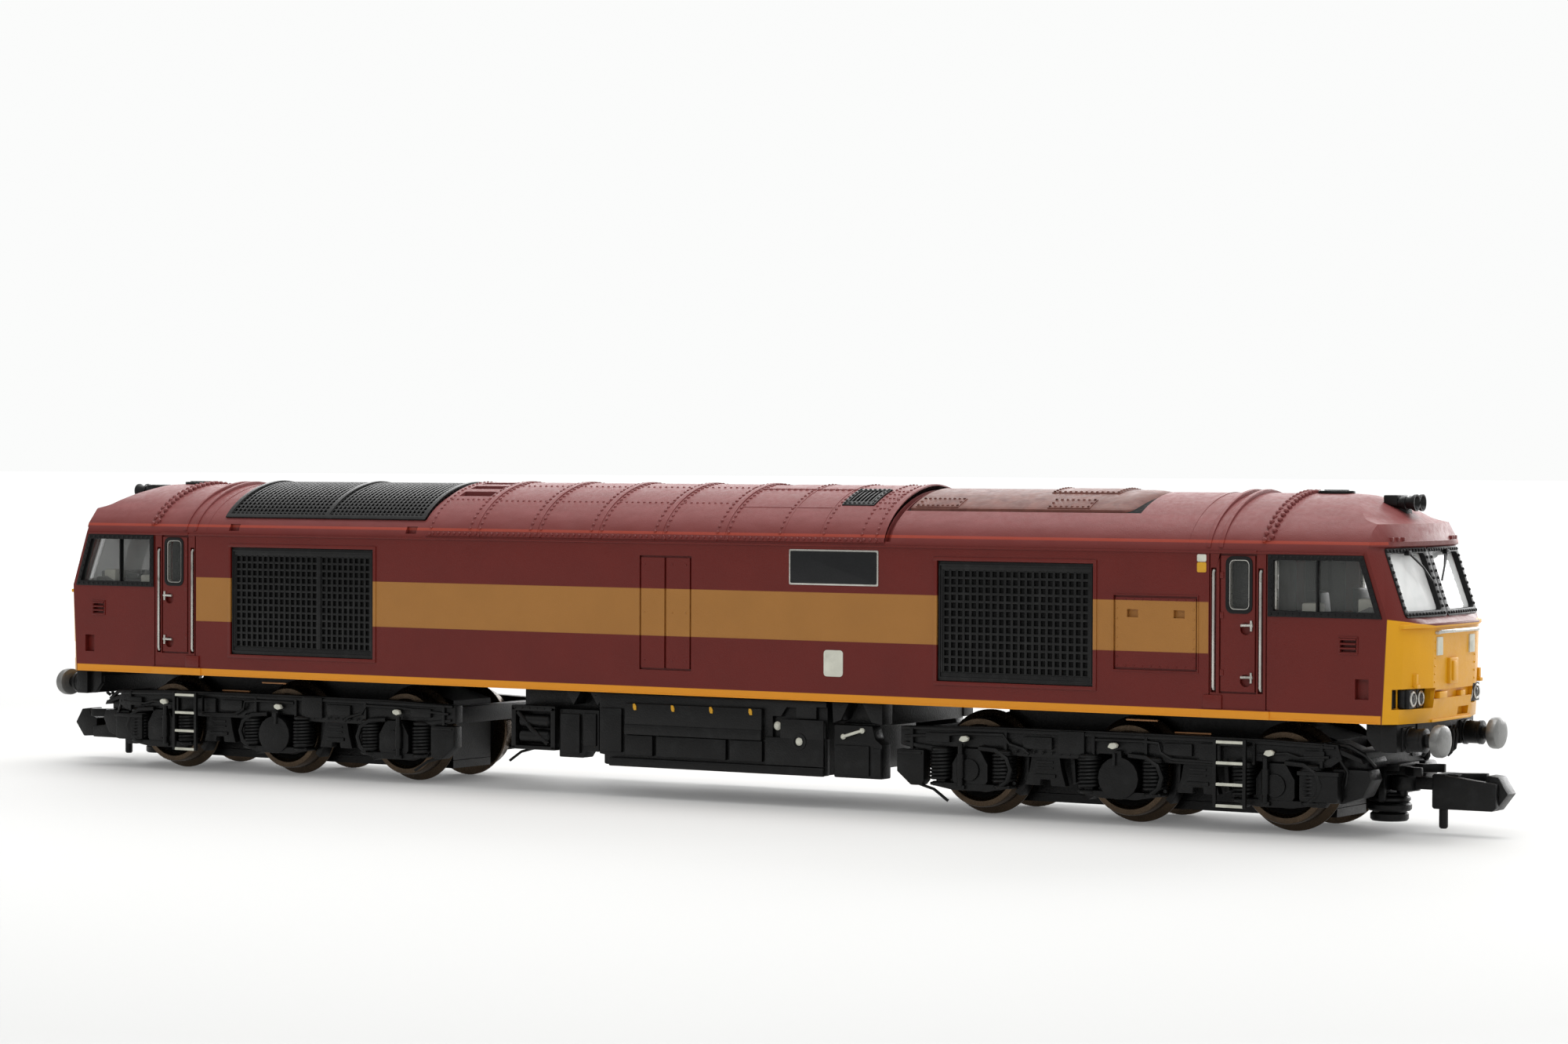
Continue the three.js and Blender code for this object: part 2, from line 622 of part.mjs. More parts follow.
// An axlebox between its two coil springs, which stand on its bottom wings.
const SUSPENSION_OUTLINE = [[-3.8, 5.5], [-3.8, 2.45], [-1.5, 2.45], [-1.5, 2.15], [1.5, 2.15], [1.5,
    2.45], [3.8, 2.45],
  [3.8, 5.5], [2.2, 5.5], [2.2, 3.1], [1.5, 3.1], [1.5, 7.0], [-1.5, 7.0], [-1.5, 3.1], [-2.2, 3.1],
      [-2.2, 5.5]];

function sideFrame() {
  const pieces = [prismY(BEAM_OUTLINE, FRAME_INNER, 7.5)];
  for (const axle of AXLES) {
    const outline = SUSPENSION_OUTLINE.map(([x, z]) => [axle + x, z]);
    pieces.push(prismY(outline, FRAME_INNER, 8.05));
  }
  pieces.push(prismY([[-21.0, 5.5], [-21.0, 3.2], [-19.8, 2.3], [-18.3, 2.3], [-18.3, 5.5]], FRAME_INNER,
      7.9));
  return cut(union(pieces), AXLES.map((x) => box(x - 0.95, x + 0.95, 5, AXLE_TIP + 0.3, AXLE_Z - 0.95,
      AXLE_Z + 0.95)));
}

function makeBogieFrame() {
  const side = sideFrame();
  const beams = [box(18.9, 21.4, -6.5, 6.5, 5.3, 7.2), box(-20.6, -18.9, -6.5, 6.5, 5.5, 7.2)];
  const clips = [];
  for (const x of [-IDLER_X, IDLER_X]) {
    clips.push(box(x - 1.6, x + 1.6, TOWER_HALF + FIT, 6.4, 6.0, 7.2));
    clips.push(box(x - 1.6, x + 1.6, -6.4, -TOWER_HALF - FIT, 6.0, 7.2));
  }
  const pocket = box(20.6, 24.0, -2.2, 2.2, 1.9, 5.6);
  const pocketHollow = box(20.9, 26, -1.7, 1.7, 2.9, 5.0);
  const pivot = rodZ(0.45, 1.9, 5.6, COUPLER_PIVOT, 0);
  return union([side, side.mirror([0, 1, 0]), ...beams, ...clips, pocket.subtract(pocketHollow), pivot]);
}

function rodZ(r, z0, z1, x, y, sides = 12) {
  const geometry = new THREE.CylinderGeometry(r, r, z1 - z0, sides);
  geometry.rotateX(Math.PI / 2);
  geometry.translate(x, y, (z0 + z1) / 2);
  return solid(geometry);
}

function makeCoupler() {
  const tip = COUPLER_TIP - BOGIE_CENTRE;
  const shank = box(COUPLER_PIVOT - 0.1, 25.5, -0.8, 0.8, 3.4, 4.6);
  const eye = rodZ(1.1, 3.4, 4.6, COUPLER_PIVOT + 0.55, 0, 10);
  const head = prismY([[24.8, 2.2], [30.0, 2.2], [tip - 0.6, 2.6], [tip, 3.6], [tip - 0.5, 4.9], [29.6,
      4.9], [29.2, 3.6],
    [27.8, 3.6], [27.6, 5.0], [24.8, 5.0]], -1.7, 1.7);
  const pin = rodZ(0.35, 0.55, 2.6, 25.5, 0, 8);
  return union([shank, eye, head, pin]).subtract(rodZ(0.6, 0, 9, COUPLER_PIVOT, 0));
}

function makeLadder(side) {
  const [y0, y1] = [8.3, 8.62];
  const stiles = [box(9.53, 9.8, y0, y1, 2.0, 7.5), box(11.5, 11.78, y0, y1, 2.0, 7.5)];
  const rungs = [2.1, 3.85, 5.57, 7.2].map((z) => box(9.7, 11.6, y0, y1, z - 0.12, z + 0.13));
  const bracket = box(9.53, 11.78, 7.55, y1, 6.9, 7.3);
  const ladder = union([...stiles, ...rungs, bracket]);
  return side > 0 ? ladder : ladder.mirror([0, 1, 0]);
}

// ---------- assembly ----------

const locomotive = new THREE.Group();
const SIDES = [["near", -1], ["far", 1]];

locomotive.add(toMesh("body_shell", makeBodyShell(), MAROON));
locomotive.add(toMesh("roof_grille", makeRoofGrille(), BLACK));
locomotive.add(toMesh("exhaust_silencer", makeSilencer(), WEATHERED));
locomotive.add(toMesh("roof_vent", makeRoofVent(), BLACK));
locomotive.add(toMesh("chassis_block", makeChassis(), DIECAST));
locomotive.add(toMesh("underframe_tank", makeTank(), UNDERFRAME));
locomotive.add(toMesh("motor_can", makeMotorCan(), STEEL));
locomotive.add(toMesh("motor_armature", makeArmature(), STEEL));
locomotive.add(toMesh("circuit_board", box(-34, 34, -6.5, 6.5, 21.3, 22.2), BOARD));
SIDE_GRILLES.forEach((span, index) => {
  SIDES.forEach(([label, side]) => {
    locomotive.add(toMesh(`side_grille_${index + 1}_${label}`, makeSideGrille(span, side), BLACK));
  });
});

function addCabEnd(number, place) {
  const end = new THREE.Group();
  end.add(toMesh(`cab_glazing_${number}`, makeGlazing(), GLASS));
  end.add(toMesh(`cab_interior_${number}`, makeCabInterior(), GREY));
  end.add(toMesh(`horn_${number}`, makeHorn(), BLACK));
  end.add(toMesh(`roof_pod_${number}`, makeRoofPod(), BLACK));
  end.add(toMesh(`buffer_beam_${number}`, makeBufferBeam(), UNDERFRAME));
  end.add(toMesh(`flywheel_${number}`, makeFlywheel(), BRASS));
  end.add(toMesh(`drive_shaft_${number}`, makeDriveShaft(), NYLON));
  SIDES.forEach(([label, side]) => {
    end.add(toMesh(`buffer_${number}_${label}`, makeBuffer(side * place), STEEL));
  });
  end.rotation.z = place > 0 ? 0 : Math.PI;
  locomotive.add(end);
}

function addBogie(number, place) {
  const bogie = new THREE.Group();
  bogie.add(toMesh(`bogie_frame_${number}`, makeBogieFrame(), UNDERFRAME));
  bogie.add(toMesh(`gear_tower_${number}`, makeGearTower(), BLACK));
  bogie.add(toMesh(`keeper_plate_${number}`, makeKeeperPlate(), BLACK));
  bogie.add(toMesh(`worm_${number}`, makeWorm(0), BRASS));
  bogie.add(toMesh(`worm_gear_${number}`, pinnedGear(WORM_GEAR_TEETH, 0, WORM_GEAR_Z), NYLON));
  bogie.add(toMesh(`idler_gear_${number}_inner`, pinnedGear(IDLER_TEETH, -IDLER_X, IDLER_Z), NYLON));
  bogie.add(toMesh(`idler_gear_${number}_outer`, pinnedGear(IDLER_TEETH, IDLER_X, IDLER_Z), NYLON));
  bogie.add(toMesh(`coupler_${number}`, makeCoupler(), UNDERFRAME));
  SIDES.forEach(([label, side]) => {
    bogie.add(toMesh(`ladder_${number}_${label}`, makeLadder(side * place), UNDERFRAME));
  });
  ["inner", "middle", "outer"].forEach((label, index) => {
    bogie.add(toMesh(`wheelset_${number}_${label}`, makeWheelset(AXLES[index]), TYRE));
  });
  bogie.position.x = place * BOGIE_CENTRE;
  bogie.rotation.z = place > 0 ? 0 : Math.PI;
  locomotive.add(bogie);
}

addCabEnd(1, 1);
addCabEnd(2, -1);
addBogie(1, 1);
addBogie(2, -1);

export default locomotive;
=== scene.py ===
"""Looks of a 1:148 model diesel locomotive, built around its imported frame.

Shapes are made in millimetres and scaled to metres when they become pieces. X runs along the locomotive,
Y across it and Z up. End 1 is at +X and end 2 at -X; the near side is at -Y.
"""

import math
import bmesh
import bpy
from mathutils import Matrix, Vector


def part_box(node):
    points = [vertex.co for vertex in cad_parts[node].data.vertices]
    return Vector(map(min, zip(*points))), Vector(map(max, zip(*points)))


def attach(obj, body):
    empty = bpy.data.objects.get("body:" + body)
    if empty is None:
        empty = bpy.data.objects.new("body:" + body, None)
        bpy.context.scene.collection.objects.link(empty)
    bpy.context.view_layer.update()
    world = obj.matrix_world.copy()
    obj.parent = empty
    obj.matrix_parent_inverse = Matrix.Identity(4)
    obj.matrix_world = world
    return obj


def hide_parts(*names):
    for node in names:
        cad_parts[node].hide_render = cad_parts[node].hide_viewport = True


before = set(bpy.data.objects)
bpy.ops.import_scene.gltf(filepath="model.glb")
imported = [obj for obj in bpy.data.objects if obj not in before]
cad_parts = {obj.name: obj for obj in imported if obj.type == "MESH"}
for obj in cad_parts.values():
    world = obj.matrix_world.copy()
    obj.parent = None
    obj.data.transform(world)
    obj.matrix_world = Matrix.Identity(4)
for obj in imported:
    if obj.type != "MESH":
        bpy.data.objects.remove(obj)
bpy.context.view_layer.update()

MM = 0.001


def node_box(name):
    """A CAD node's lowest and highest corners in millimetres."""
    low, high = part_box(name)
    return low / MM, high / MM


# ---------- sizes shared by the pieces, in millimetres ----------

ENDS = ((1, 1), (2, -1))
SIDES = (("near", -1), ("far", 1))

# The roof's section is part of a superellipse over sides of full width.
HALF_WIDTH = 8.92
BODY_BOTTOM = 9.2
SIDE_TOP = 22.4
WALL = 0.9
ROOF_RISE = 4.8
ROOF_POWER = 1.75
ROOF_EDGE = 8.86
# How far the middle of the roof stands up, and how far cutters reach above the roof.
RAISED = 0.38
CUT_TOP = 1.5

# Where the livery's colours change.
BAND = (14.35, 18.47)
BAND_END = 52.8
SOLE_LINE = (9.0, 9.86)
CANTRAIL_LINE = (23.22, 23.46)
PAINTED_SIDE_END = 67.72

# Openings of the sides: (x, z) corners, X spans, Z spans, or (x0, x1, z0, z1). Door and cab are for end 1.
SIDE_WINDOW = ((58.45, 17.85), (67.5, 17.85), (65.95, 22.0), (58.45, 22.0))
DOOR = (53.75, 57.05)
DOOR_GLASS = (54.62, 56.4, 17.9, 21.92)
HANDLES = (16.65, 12.5)
HANDRAIL_SLOTS = ((53.03, 53.5), (57.15, 57.62))
GRILLES = ((27.75, 42.45), (-48.57, -31.68))
GRILLE_HEIGHTS = (11.3, 21.4)
GRILLE_BAR = (-38.35, -37.9)
PANEL = (-2.25, 3.18, 11.35, 21.36)
HATCH = (44.31, 51.87, 12.83, 18.87)

RAISED_SPAN = (-25.7, 22.6)
# Roof openings: X span and half width, or X span and Y span.
ROOF_GRILLE = (-49.9, -26.3, 8.15)
ROOF_GRILLE_BAR = (-38.15, -37.65)
SILENCER = (23.2, 45.4, 6.5)
VENT = (16.7, 20.0, -6.1, -2.9)
RECESS_SPAN = (-24.7, -21.1)
RECESS_ROWS = tuple((y + 0.5, y - 0.5) for y in (4.8, 3.1, 1.35, -1.35, -3.1, -4.8))

BUFFER_Y, BUFFER_Z = 5.89, 7.87
AXLE_SPACING = 13.95
AXLES = (-AXLE_SPACING, 0.0, AXLE_SPACING)
AXLE_Z = 4.4
IDLER_X = AXLE_SPACING / 2
SPRING_Y = 7.05
COUPLER_PIVOT = 21.6
COUPLER_TIP = 75.15
BOGIE_CENTRE = sum(corner.x for corner in node_box("wheelset_1_middle")) / 2


# ---------- materials ----------

class Paint:
    """A small builder for one procedural material."""

    def __init__(self, name):
        self.material = bpy.data.materials.new(name)
        self.material.use_nodes = True
        self.tree = self.material.node_tree
        self.shader = self.tree.nodes["Principled BSDF"]
        self.place = self.scaled(self.tree.nodes.new("ShaderNodeTexCoord").outputs["Object"], 1 / MM)

    def node(self, kind, operation=None):
        node = self.tree.nodes.new(kind)
        if operation:
            node.operation = operation
        return node

    def link(self, source, socket):
        if isinstance(source, bpy.types.NodeSocket):
            self.tree.links.new(source, socket)
        else:
            socket.default_value = source

    def scaled(self, vector, factor):
        node = self.node("ShaderNodeVectorMath", "SCALE")
        self.link(vector, node.inputs[0])
        node.inputs["Scale"].default_value = factor
        return node.outputs[0]

    def stretched(self, factors):
        node = self.node("ShaderNodeVectorMath", "MULTIPLY")
        self.link(self.place, node.inputs[0])
        node.inputs[1].default_value = factors
        return node.outputs[0]

    def axes(self):
        node = self.tree.nodes.new("ShaderNodeSeparateXYZ")
        self.link(self.place, node.inputs[0])
        return node.outputs[0], node.outputs[1], node.outputs[2]

    def math(self, operation, a, b=0.0, c=0.0):
        node = self.node("ShaderNodeMath", operation)
        for value, socket in zip((a, b, c), node.inputs):
            self.link(value, socket)
        return node.outputs[0]

    def above(self, value, limit, soft=0.03):
        """0 below the limit and 1 above it, with a soft edge."""
        node = self.tree.nodes.new("ShaderNodeMapRange")
        self.link(value, node.inputs["Value"])
        edge = self.math("SUBTRACT", limit, soft) if isinstance(limit,
            bpy.types.NodeSocket) else limit - soft
        top = self.math("ADD", limit, soft) if isinstance(limit, bpy.types.NodeSocket) else limit + soft
        self.link(edge, node.inputs["From Min"])
        self.link(top, node.inputs["From Max"])
        return node.outputs[0]

    def between(self, value, low, high, soft=0.03):
        return self.both(self.above(value, low, soft), self.math("SUBTRACT", 1.0,
            self.above(value, high, soft)))

    def both(self, a, b):
        return self.math("MULTIPLY", a, b)

    def noise(self, scale, detail=3.0, vector=None, low=0.0, high=1.0):
        node = self.tree.nodes.new("ShaderNodeTexNoise")
        self.link(vector or self.place, node.inputs["Vector"])
        node.inputs["Scale"].default_value = scale
        node.inputs["Detail"].default_value = detail
        spread = self.tree.nodes.new("ShaderNodeMapRange")
        self.link(node.outputs[0], spread.inputs["Value"])
        for key, value in (("From Min", 0.3), ("From Max", 0.7), ("To Min", low), ("To Max", high)):
            spread.inputs[key].default_value = value
        return spread.outputs[0]

    def mix(self, mask, a, b):
        node = self.tree.nodes.new("ShaderNodeMix")
        node.data_type = "RGBA"
        self.link(mask, node.inputs["Factor"])
        self.link(rgba(a), node.inputs[6])
        self.link(rgba(b), node.inputs[7])
        return node.outputs[2]

    def bump(self, height, distance, strength=1.0):
        node = self.tree.nodes.new("ShaderNodeBump")
        self.link(height, node.inputs["Height"])
        node.inputs["Distance"].default_value = distance * MM
        node.inputs["Strength"].default_value = strength
        self.tree.links.new(node.outputs[0], self.shader.inputs["Normal"])
        return node

    def set(self, **values):
        for key, value in values.items():
            self.link(value, self.shader.inputs[key.replace("_", " ")])
        return self


def rgba(colour):
    return colour if isinstance(colour, bpy.types.NodeSocket) else (*colour, 1.0)


def srgb(r, g, b):
    """A linear colour from 0-255 screen values."""
    return tuple((c / 255 / 12.92) if c <= 10 else ((c / 255 + 0.055) / 1.055) ** 2.4 for c in (r, g, b))


MAROON = srgb(97, 27, 21)
GOLD = srgb(166, 114, 54)
ORANGE = srgb(224, 146, 32)
CANTRAIL = srgb(150, 50, 24)
YELLOW = srgb(222, 158, 18)


def livery_paint():
    paint = Paint("livery")
    x, y, z = paint.axes()
    along = paint.math("ABSOLUTE", x)
    across = paint.math("ABSOLUTE", y)
    mottle = paint.noise(0.25, 4.0)
    base = paint.mix(mottle, MAROON, tuple(c * 1.12 for c in MAROON))
    band = paint.both(paint.between(z, *BAND), paint.math("SUBTRACT", 1.0, paint.above(along, BAND_END)))
    band = paint.both(band, paint.above(across, 8.3))
    colour = paint.mix(band, base, paint.mix(mottle, GOLD, tuple(c * 0.93 for c in GOLD)))
    on_side = paint.math("SUBTRACT", 1.0, paint.above(along, PAINTED_SIDE_END))
    colour = paint.mix(paint.both(paint.between(z, *SOLE_LINE), paint.both(on_side,
        paint.above(across, 8.3))), colour, ORANGE)
    rail = paint.both(paint.between(z, *CANTRAIL_LINE), paint.both(paint.above(across, 7.0), on_side))
    colour = paint.mix(rail, colour, CANTRAIL)
    side_line = paint.math("MULTIPLY_ADD", z, 0.05, 67.35)
    lift = paint.math("MAXIMUM", paint.math("SUBTRACT", across, 4.5), 0.0)
    nose_top = paint.math("MULTIPLY_ADD", lift, 0.125, 16.87)
    nose = paint.both(paint.above(along, side_line), paint.math("SUBTRACT", 1.0, paint.above(z, nose_top)))
    yellow = paint.mix(paint.noise(0.3, 4.0), YELLOW, tuple(c * 0.94 for c in YELLOW))
    colour = paint.mix(nose, colour, yellow)
    # Painted sheen: above the cantrail the roof turns a lighter pink in noisy patches. This is partly dust and
    # partly a painted highlight where the roof top catches the light. The same mask also makes the roof
    # rougher.
    dust_and_sheen = paint.both(paint.above(z, 23.6, 1.2), paint.noise(1.1, 6.0, paint.stretched((0.35, 1.0, 1.0)),
        0.24, 0.4))
    colour = paint.mix(dust_and_sheen, colour, srgb(162, 104, 105))
    rough = paint.noise(2.2, 5.0, low=0.3, high=0.44)
    rough = paint.math("ADD", rough, paint.math("MULTIPLY", dust_and_sheen, 0.35))
    paint.set(Base_Color=colour, Roughness=rough)
    paint.shader.inputs["Specular IOR Level"].default_value = 0.3
    paint.bump(paint.noise(9.0, 4.0), 0.012, 0.5)
    return paint.material


def plain(name, colour, roughness, metallic=0.0, grain=6.0, depth=0.01, vary=0.2, wear=None):
    """A moulded or metal surface: slow colour variation, roughness variation and a fine grain."""
    paint = Paint(name)
    tone = paint.noise(0.7, 5.0)
    darker = tuple(c * (1 - vary) for c in colour)
    shade = paint.mix(tone, darker, colour)
    if wear:
        shade = paint.mix(paint.noise(0.9, 6.0, low=-0.9, high=0.7), shade, wear)
    rough = paint.noise(grain * 0.5, 5.0, low=roughness * 0.85, high=roughness * 1.15)
    paint.set(Base_Color=shade, Roughness=rough)
    paint.shader.inputs["Metallic"].default_value = metallic
    paint.shader.inputs["Specular IOR Level"].default_value = 0.5 if metallic else 0.26
    paint.bump(paint.noise(grain, 5.0), depth, 0.6)
    return paint.material


def glass_paint():
    paint = Paint("clear_glass")
    paint.set(Roughness=paint.noise(1.6, 6.0, low=0.02, high=0.07))
    _, y, _ = paint.axes()
    front = paint.math("SUBTRACT", 1.0, paint.above(paint.math("ABSOLUTE", y), 7.15, 0.05))
    cloud = paint.mix(paint.noise(0.8, 3.0), (0.9, 0.92, 0.91), (0.98, 0.98, 0.97))
    alpha = paint.math("MULTIPLY_ADD", front, 0.62, 0.16)
    paint.set(Alpha=alpha, Base_Color=paint.mix(front, (0.2, 0.21, 0.2), cloud))
    paint.shader.inputs["Specular IOR Level"].default_value = 0.7
    return paint.material


MATERIALS = {
    # name, colour, roughness and metallic share of each
    "livery": livery_paint(),
    "black": plain("black_plastic", srgb(19, 19, 19), 0.36, grain=8.0, wear=srgb(34, 34, 34)),
    "frame": plain("underframe_plastic", srgb(12, 12, 12), 0.36, grain=7.0, depth=0.02, wear=srgb(24, 25, 25)),
    "deep": plain("shadow_black", srgb(12, 12, 12), 0.8),
    "rubber": plain("window_rubber", srgb(13, 13, 14), 0.45),
    "weathered": plain("weathered_brown", srgb(116, 70, 60), 0.45, grain=3.0, vary=0.3, wear=srgb(84, 42, 38)),
    "glass": glass_paint(),
    "cab": plain("cab_grey", srgb(140, 142, 139), 0.7, wear=srgb(118, 120, 118)),
    "silver": plain("handrail_silver", srgb(205, 203, 196), 0.3, 0.75, wear=srgb(150, 146, 138)),
    "buffer": plain("buffer_metal", srgb(126, 126, 124), 0.36, 0.4, wear=srgb(92, 92, 91)),
    "white": plain("off_white_paint", srgb(222, 222, 208), 0.55, wear=srgb(190, 190, 176)),
    "tab_yellow": plain("tab_yellow", srgb(222, 166, 46), 0.5),
    "tyre": plain("wheel_bronze", srgb(86, 72, 58), 0.28, 0.9, grain=5.0, wear=srgb(66, 57, 48)),
    "wheel": plain("wheel_centre", srgb(30, 29, 28), 0.45),
    "steel": plain("bare_steel", srgb(168, 168, 168), 0.3, 0.95),
    "brass": plain("turned_brass", srgb(198, 158, 84), 0.28, 0.95),
    "nylon": plain("natural_nylon", srgb(214, 208, 190), 0.55),
    "diecast": plain("die_casting", srgb(70, 71, 72), 0.5, 0.6, grain=4.0, depth=0.03),
    "board": plain("circuit_board", srgb(28, 84, 44), 0.4),
    "copper": plain("pickup_copper", srgb(176, 128, 88), 0.4, 0.7),
    "lens": plain("lamp_lens", srgb(46, 44, 44), 0.12, 0.3),
    "plate": plain("blank_plate", srgb(24, 25, 27), 0.4),
}


# ---------- mesh building ----------

def loft(part, rings, closed=True):
    """Joins rings of as many vertices each with faces, and closes the two ends."""
    for a, b in zip(rings, rings[1:]):
        for i in range(len(a)):
            j = (i + 1) % len(a)
            part.faces.new((a[i], a[j], b[j], b[i]))
    if closed:
        part.faces.new(rings[0][::-1])
        part.faces.new(rings[-1])


class Build:
    """Gathers bevelled primitives in millimetres into one mesh with several materials."""

    def __init__(self, *materials):
        self.mesh = bmesh.new()
        self.materials = list(materials)
        self.slot = 0
        self.side = 1

    def sides(self):
        """Works on the near side and then on the far side."""
        for self.side in (-1, 1):
            yield self.side

    def use(self, material):
        self.slot = self.materials.index(material)
        return self

    def take(self, part, bevel=0.0, smooth=False):
        """Adds another bmesh, after bevelling its edges."""
        if bevel > 0:
            edges = [e for e in part.edges if len(e.link_faces) == 2 and e.calc_face_angle(0) > 0.5]
            bmesh.ops.bevel(part, geom=edges, offset=bevel, segments=2, profile=0.6, affect="EDGES")
        for face in part.faces:
            face.material_index = self.slot
            face.smooth = smooth
        data = bpy.data.meshes.new("part")
        part.to_mesh(data)
        part.free()
        self.mesh.from_mesh(data)
        bpy.data.meshes.remove(data)
        return self

    def box(self, x0, x1, y0, y1, z0, z1, bevel=0.05):
        part = bmesh.new()
        bmesh.ops.create_cube(part, size=1.0)
        size = Vector((abs(x1 - x0), abs(y1 - y0), abs(z1 - z0)))
        middle = Vector(((x0 + x1) / 2, (y0 + y1) / 2, (z0 + z1) / 2))
        bmesh.ops.scale(part, vec=size, verts=part.verts)
        bmesh.ops.translate(part, vec=middle, verts=part.verts)
        return self.take(part, min(bevel, min(size) * 0.3))

    def slab(self, x0, x1, y0, y1, z0, z1, bevel=0.05):
        """A box on the current side; its Y values count outwards from the middle."""
        return self.box(x0, x1, self.side * y0, self.side * y1, z0, z1, bevel)

    def plate(self, points, y0, y1, bevel=0.05):
        """An (x, z) outline drawn out across the current side."""
        return self.prism(points, *sorted((self.side * y0, self.side * y1)), "y", bevel)

    def wire(self, path, radius, sides=8):
        """A round wire on the current side."""
        return self.tube([(x, self.side * y, z) for x, y, z in path], radius, sides)

    def prism(self, points, low, high, axis="y", bevel=0.05):
        """An outline drawn out along an axis; its points are the other two coordinates in XYZ order."""
        part = bmesh.new()
        order = {"x": lambda a, b, d: (d, a, b), "y": lambda a, b, d: (a, d, b), "z": lambda a, b,
            d: (a, b, d)}[axis]
        ends = [[part.verts.new(order(a, b, d)) for a, b in points] for d in (low, high)]
        count = len(points)
        part.faces.new(ends[0])
        part.faces.new(ends[1][::-1])
        for i in range(count):
            j = (i + 1) % count
            part.faces.new((ends[0][i], ends[1][i], ends[1][j], ends[0][j]))
        bmesh.ops.recalc_face_normals(part, faces=part.faces)
        return self.take(part, bevel)

    def lathe(self, profile, origin, axis="x", sides=32, scale=(1, 1, 1)):
        """A round body from (radius, distance) points along an axis through origin."""
        part = bmesh.new()
        rings = []
        for radius, distance in profile:
            count = 1 if radius < 1e-4 else sides
            ring = []
            for i in range(count):
                angle = 2 * math.pi * i / sides
                u, v = radius * math.cos(angle), radius * math.sin(angle)
                local = {"x": (distance, u, v), "y": (v, distance, u), "z": (u, v, distance)}[axis]
                ring.append(part.verts.new([o + c * s for o, c, s in zip(origin, local, scale)]))
            rings.append(ring)
        for a, b in zip(rings, rings[1:]):
            for i in range(sides):
                j = (i + 1) % sides
                corners = [a[i % len(a)], a[j % len(a)], b[j % len(b)], b[i % len(b)]]
                unique = list(dict.fromkeys(corners))
                if len(unique) > 2:
                    part.faces.new(unique)
        bmesh.ops.recalc_face_normals(part, faces=part.faces)
        return self.take(part, smooth=True)

    def turned(self, profile, x, z, sides):
        """A round body that stands out across the current side."""
        return self.lathe(profile, (x, 0, z), "y", sides, (1, self.side, 1))

    def rod(self, radius, start, end, axis="x", sides=24, at=(0, 0, 0), round_end=0.0):
        chamfer = round_end or radius * 0.12
        profile = [(0, start), (radius - chamfer, start), (radius, start + chamfer),
            (radius, end - chamfer), (radius - chamfer, end), (0, end)]
        return self.lathe(profile, at, axis, sides)

    def tube(self, path, radius, sides=8):
        """A round wire through a list of points."""
        part = bmesh.new()
        points = [Vector(p) for p in path]
        rings = []
        side = None
        for i, point in enumerate(points):
            ahead = points[min(i + 1, len(points) - 1)] - points[max(i - 1, 0)]
            ahead.normalize()
            if side is None:
                side = ahead.orthogonal().normalized()
            side = (side - ahead * side.dot(ahead)).normalized()
            up = ahead.cross(side)
            rings.append([part.verts.new(point + radius * (math.cos(2 * math.pi * k / sides) * side
                + math.sin(2 * math.pi * k / sides) * up)) for k in range(sides)])
        loft(part, rings)
        bmesh.ops.recalc_face_normals(part, faces=part.faces)
        return self.take(part, smooth=True)

    def spring(self, x, y, z0, z1, radius, wire, turns):
        steps = int(turns * 12)
        path = [(x + radius * math.cos(2 * math.pi * turns * i / steps),
            y + radius * math.sin(2 * math.pi * turns * i / steps), z0 + wire
            + (z1 - z0 - 2 * wire) * i / steps) for i in range(steps + 1)]
        return self.tube(path, wire, 6)

    def domes(self, spots, radius, squash=0.7):
        """Rivet heads: spots are (point, outward normal)."""
        part = bmesh.new()
        for point, normal in spots:
            turn = Vector(normal).to_track_quat("Z", "Y")
            rings = []
            for ring, lift in ((1.0, -0.2), (0.85, 0.55), (0.4, 0.95)):
                rings.append([part.verts.new(Vector(point)
                    + turn @ Vector((radius * ring * math.cos(math.pi * k / 3),
                    radius * ring * math.sin(math.pi * k / 3), radius * squash * lift))) for k in range(6)])
            loft(part, rings)
        return self.take(part, smooth=True)

    def piece(self, name, slot, replaces=(), place=None, body="chassis", sharp=35):
        """Turns the gathered mesh into a piece that rides on a body."""
        data = bpy.data.meshes.new(name)
        self.mesh.to_mesh(data)
        self.mesh.free()
        if place is not None:
            data.transform(place)
        data.transform(Matrix.Scale(MM, 4))
        for key in self.materials:
            data.materials.append(MATERIALS[key])
        data.polygons.foreach_set("use_smooth", [True] * len(data.polygons))
        data.set_sharp_from_angle(angle=math.radians(sharp))
        piece = bpy.data.objects.new(name, data)
        bpy.context.scene.collection.objects.link(piece)
        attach(piece, body)
        if replaces:
            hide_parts(*replaces)

    def stand_in(self, node, slot, place=None, body="chassis", ending="detailed", sharp=35):
        """A piece that stands for one CAD node."""
        self.piece(f"{node}_{ending}", slot, (node,), place, body, sharp)


HALF_TURN = Matrix.Rotation(math.pi, 4, "Z")


def end_matrix(place):
    return Matrix.Identity(4) if place > 0 else HALF_TURN


# ---------- the roof's curve ----------

def roof_angle(y):
    return math.acos(math.copysign(min(abs(y) / HALF_WIDTH, 1.0) ** (ROOF_POWER / 2), y))


def roof_at(angle, out=0.0):
    """A (y, z) point on the roof's curve; angle 0 is the far side's top edge and pi the near side's."""
    c, s = math.cos(angle), max(math.sin(angle), 0.0)
    y = (HALF_WIDTH + min(out, out * 0.26, 0.19)) * math.copysign(abs(c) ** (2 / ROOF_POWER), c)
    return y, SIDE_TOP + (ROOF_RISE + out) * s ** (2 / ROOF_POWER)


def roof_normal(angle, out=0.0):
    (y0, z0), (y1, z1) = roof_at(angle - 0.02, out), roof_at(angle + 0.02, out)
    return Vector((0, z1 - z0, y0 - y1)).normalized()


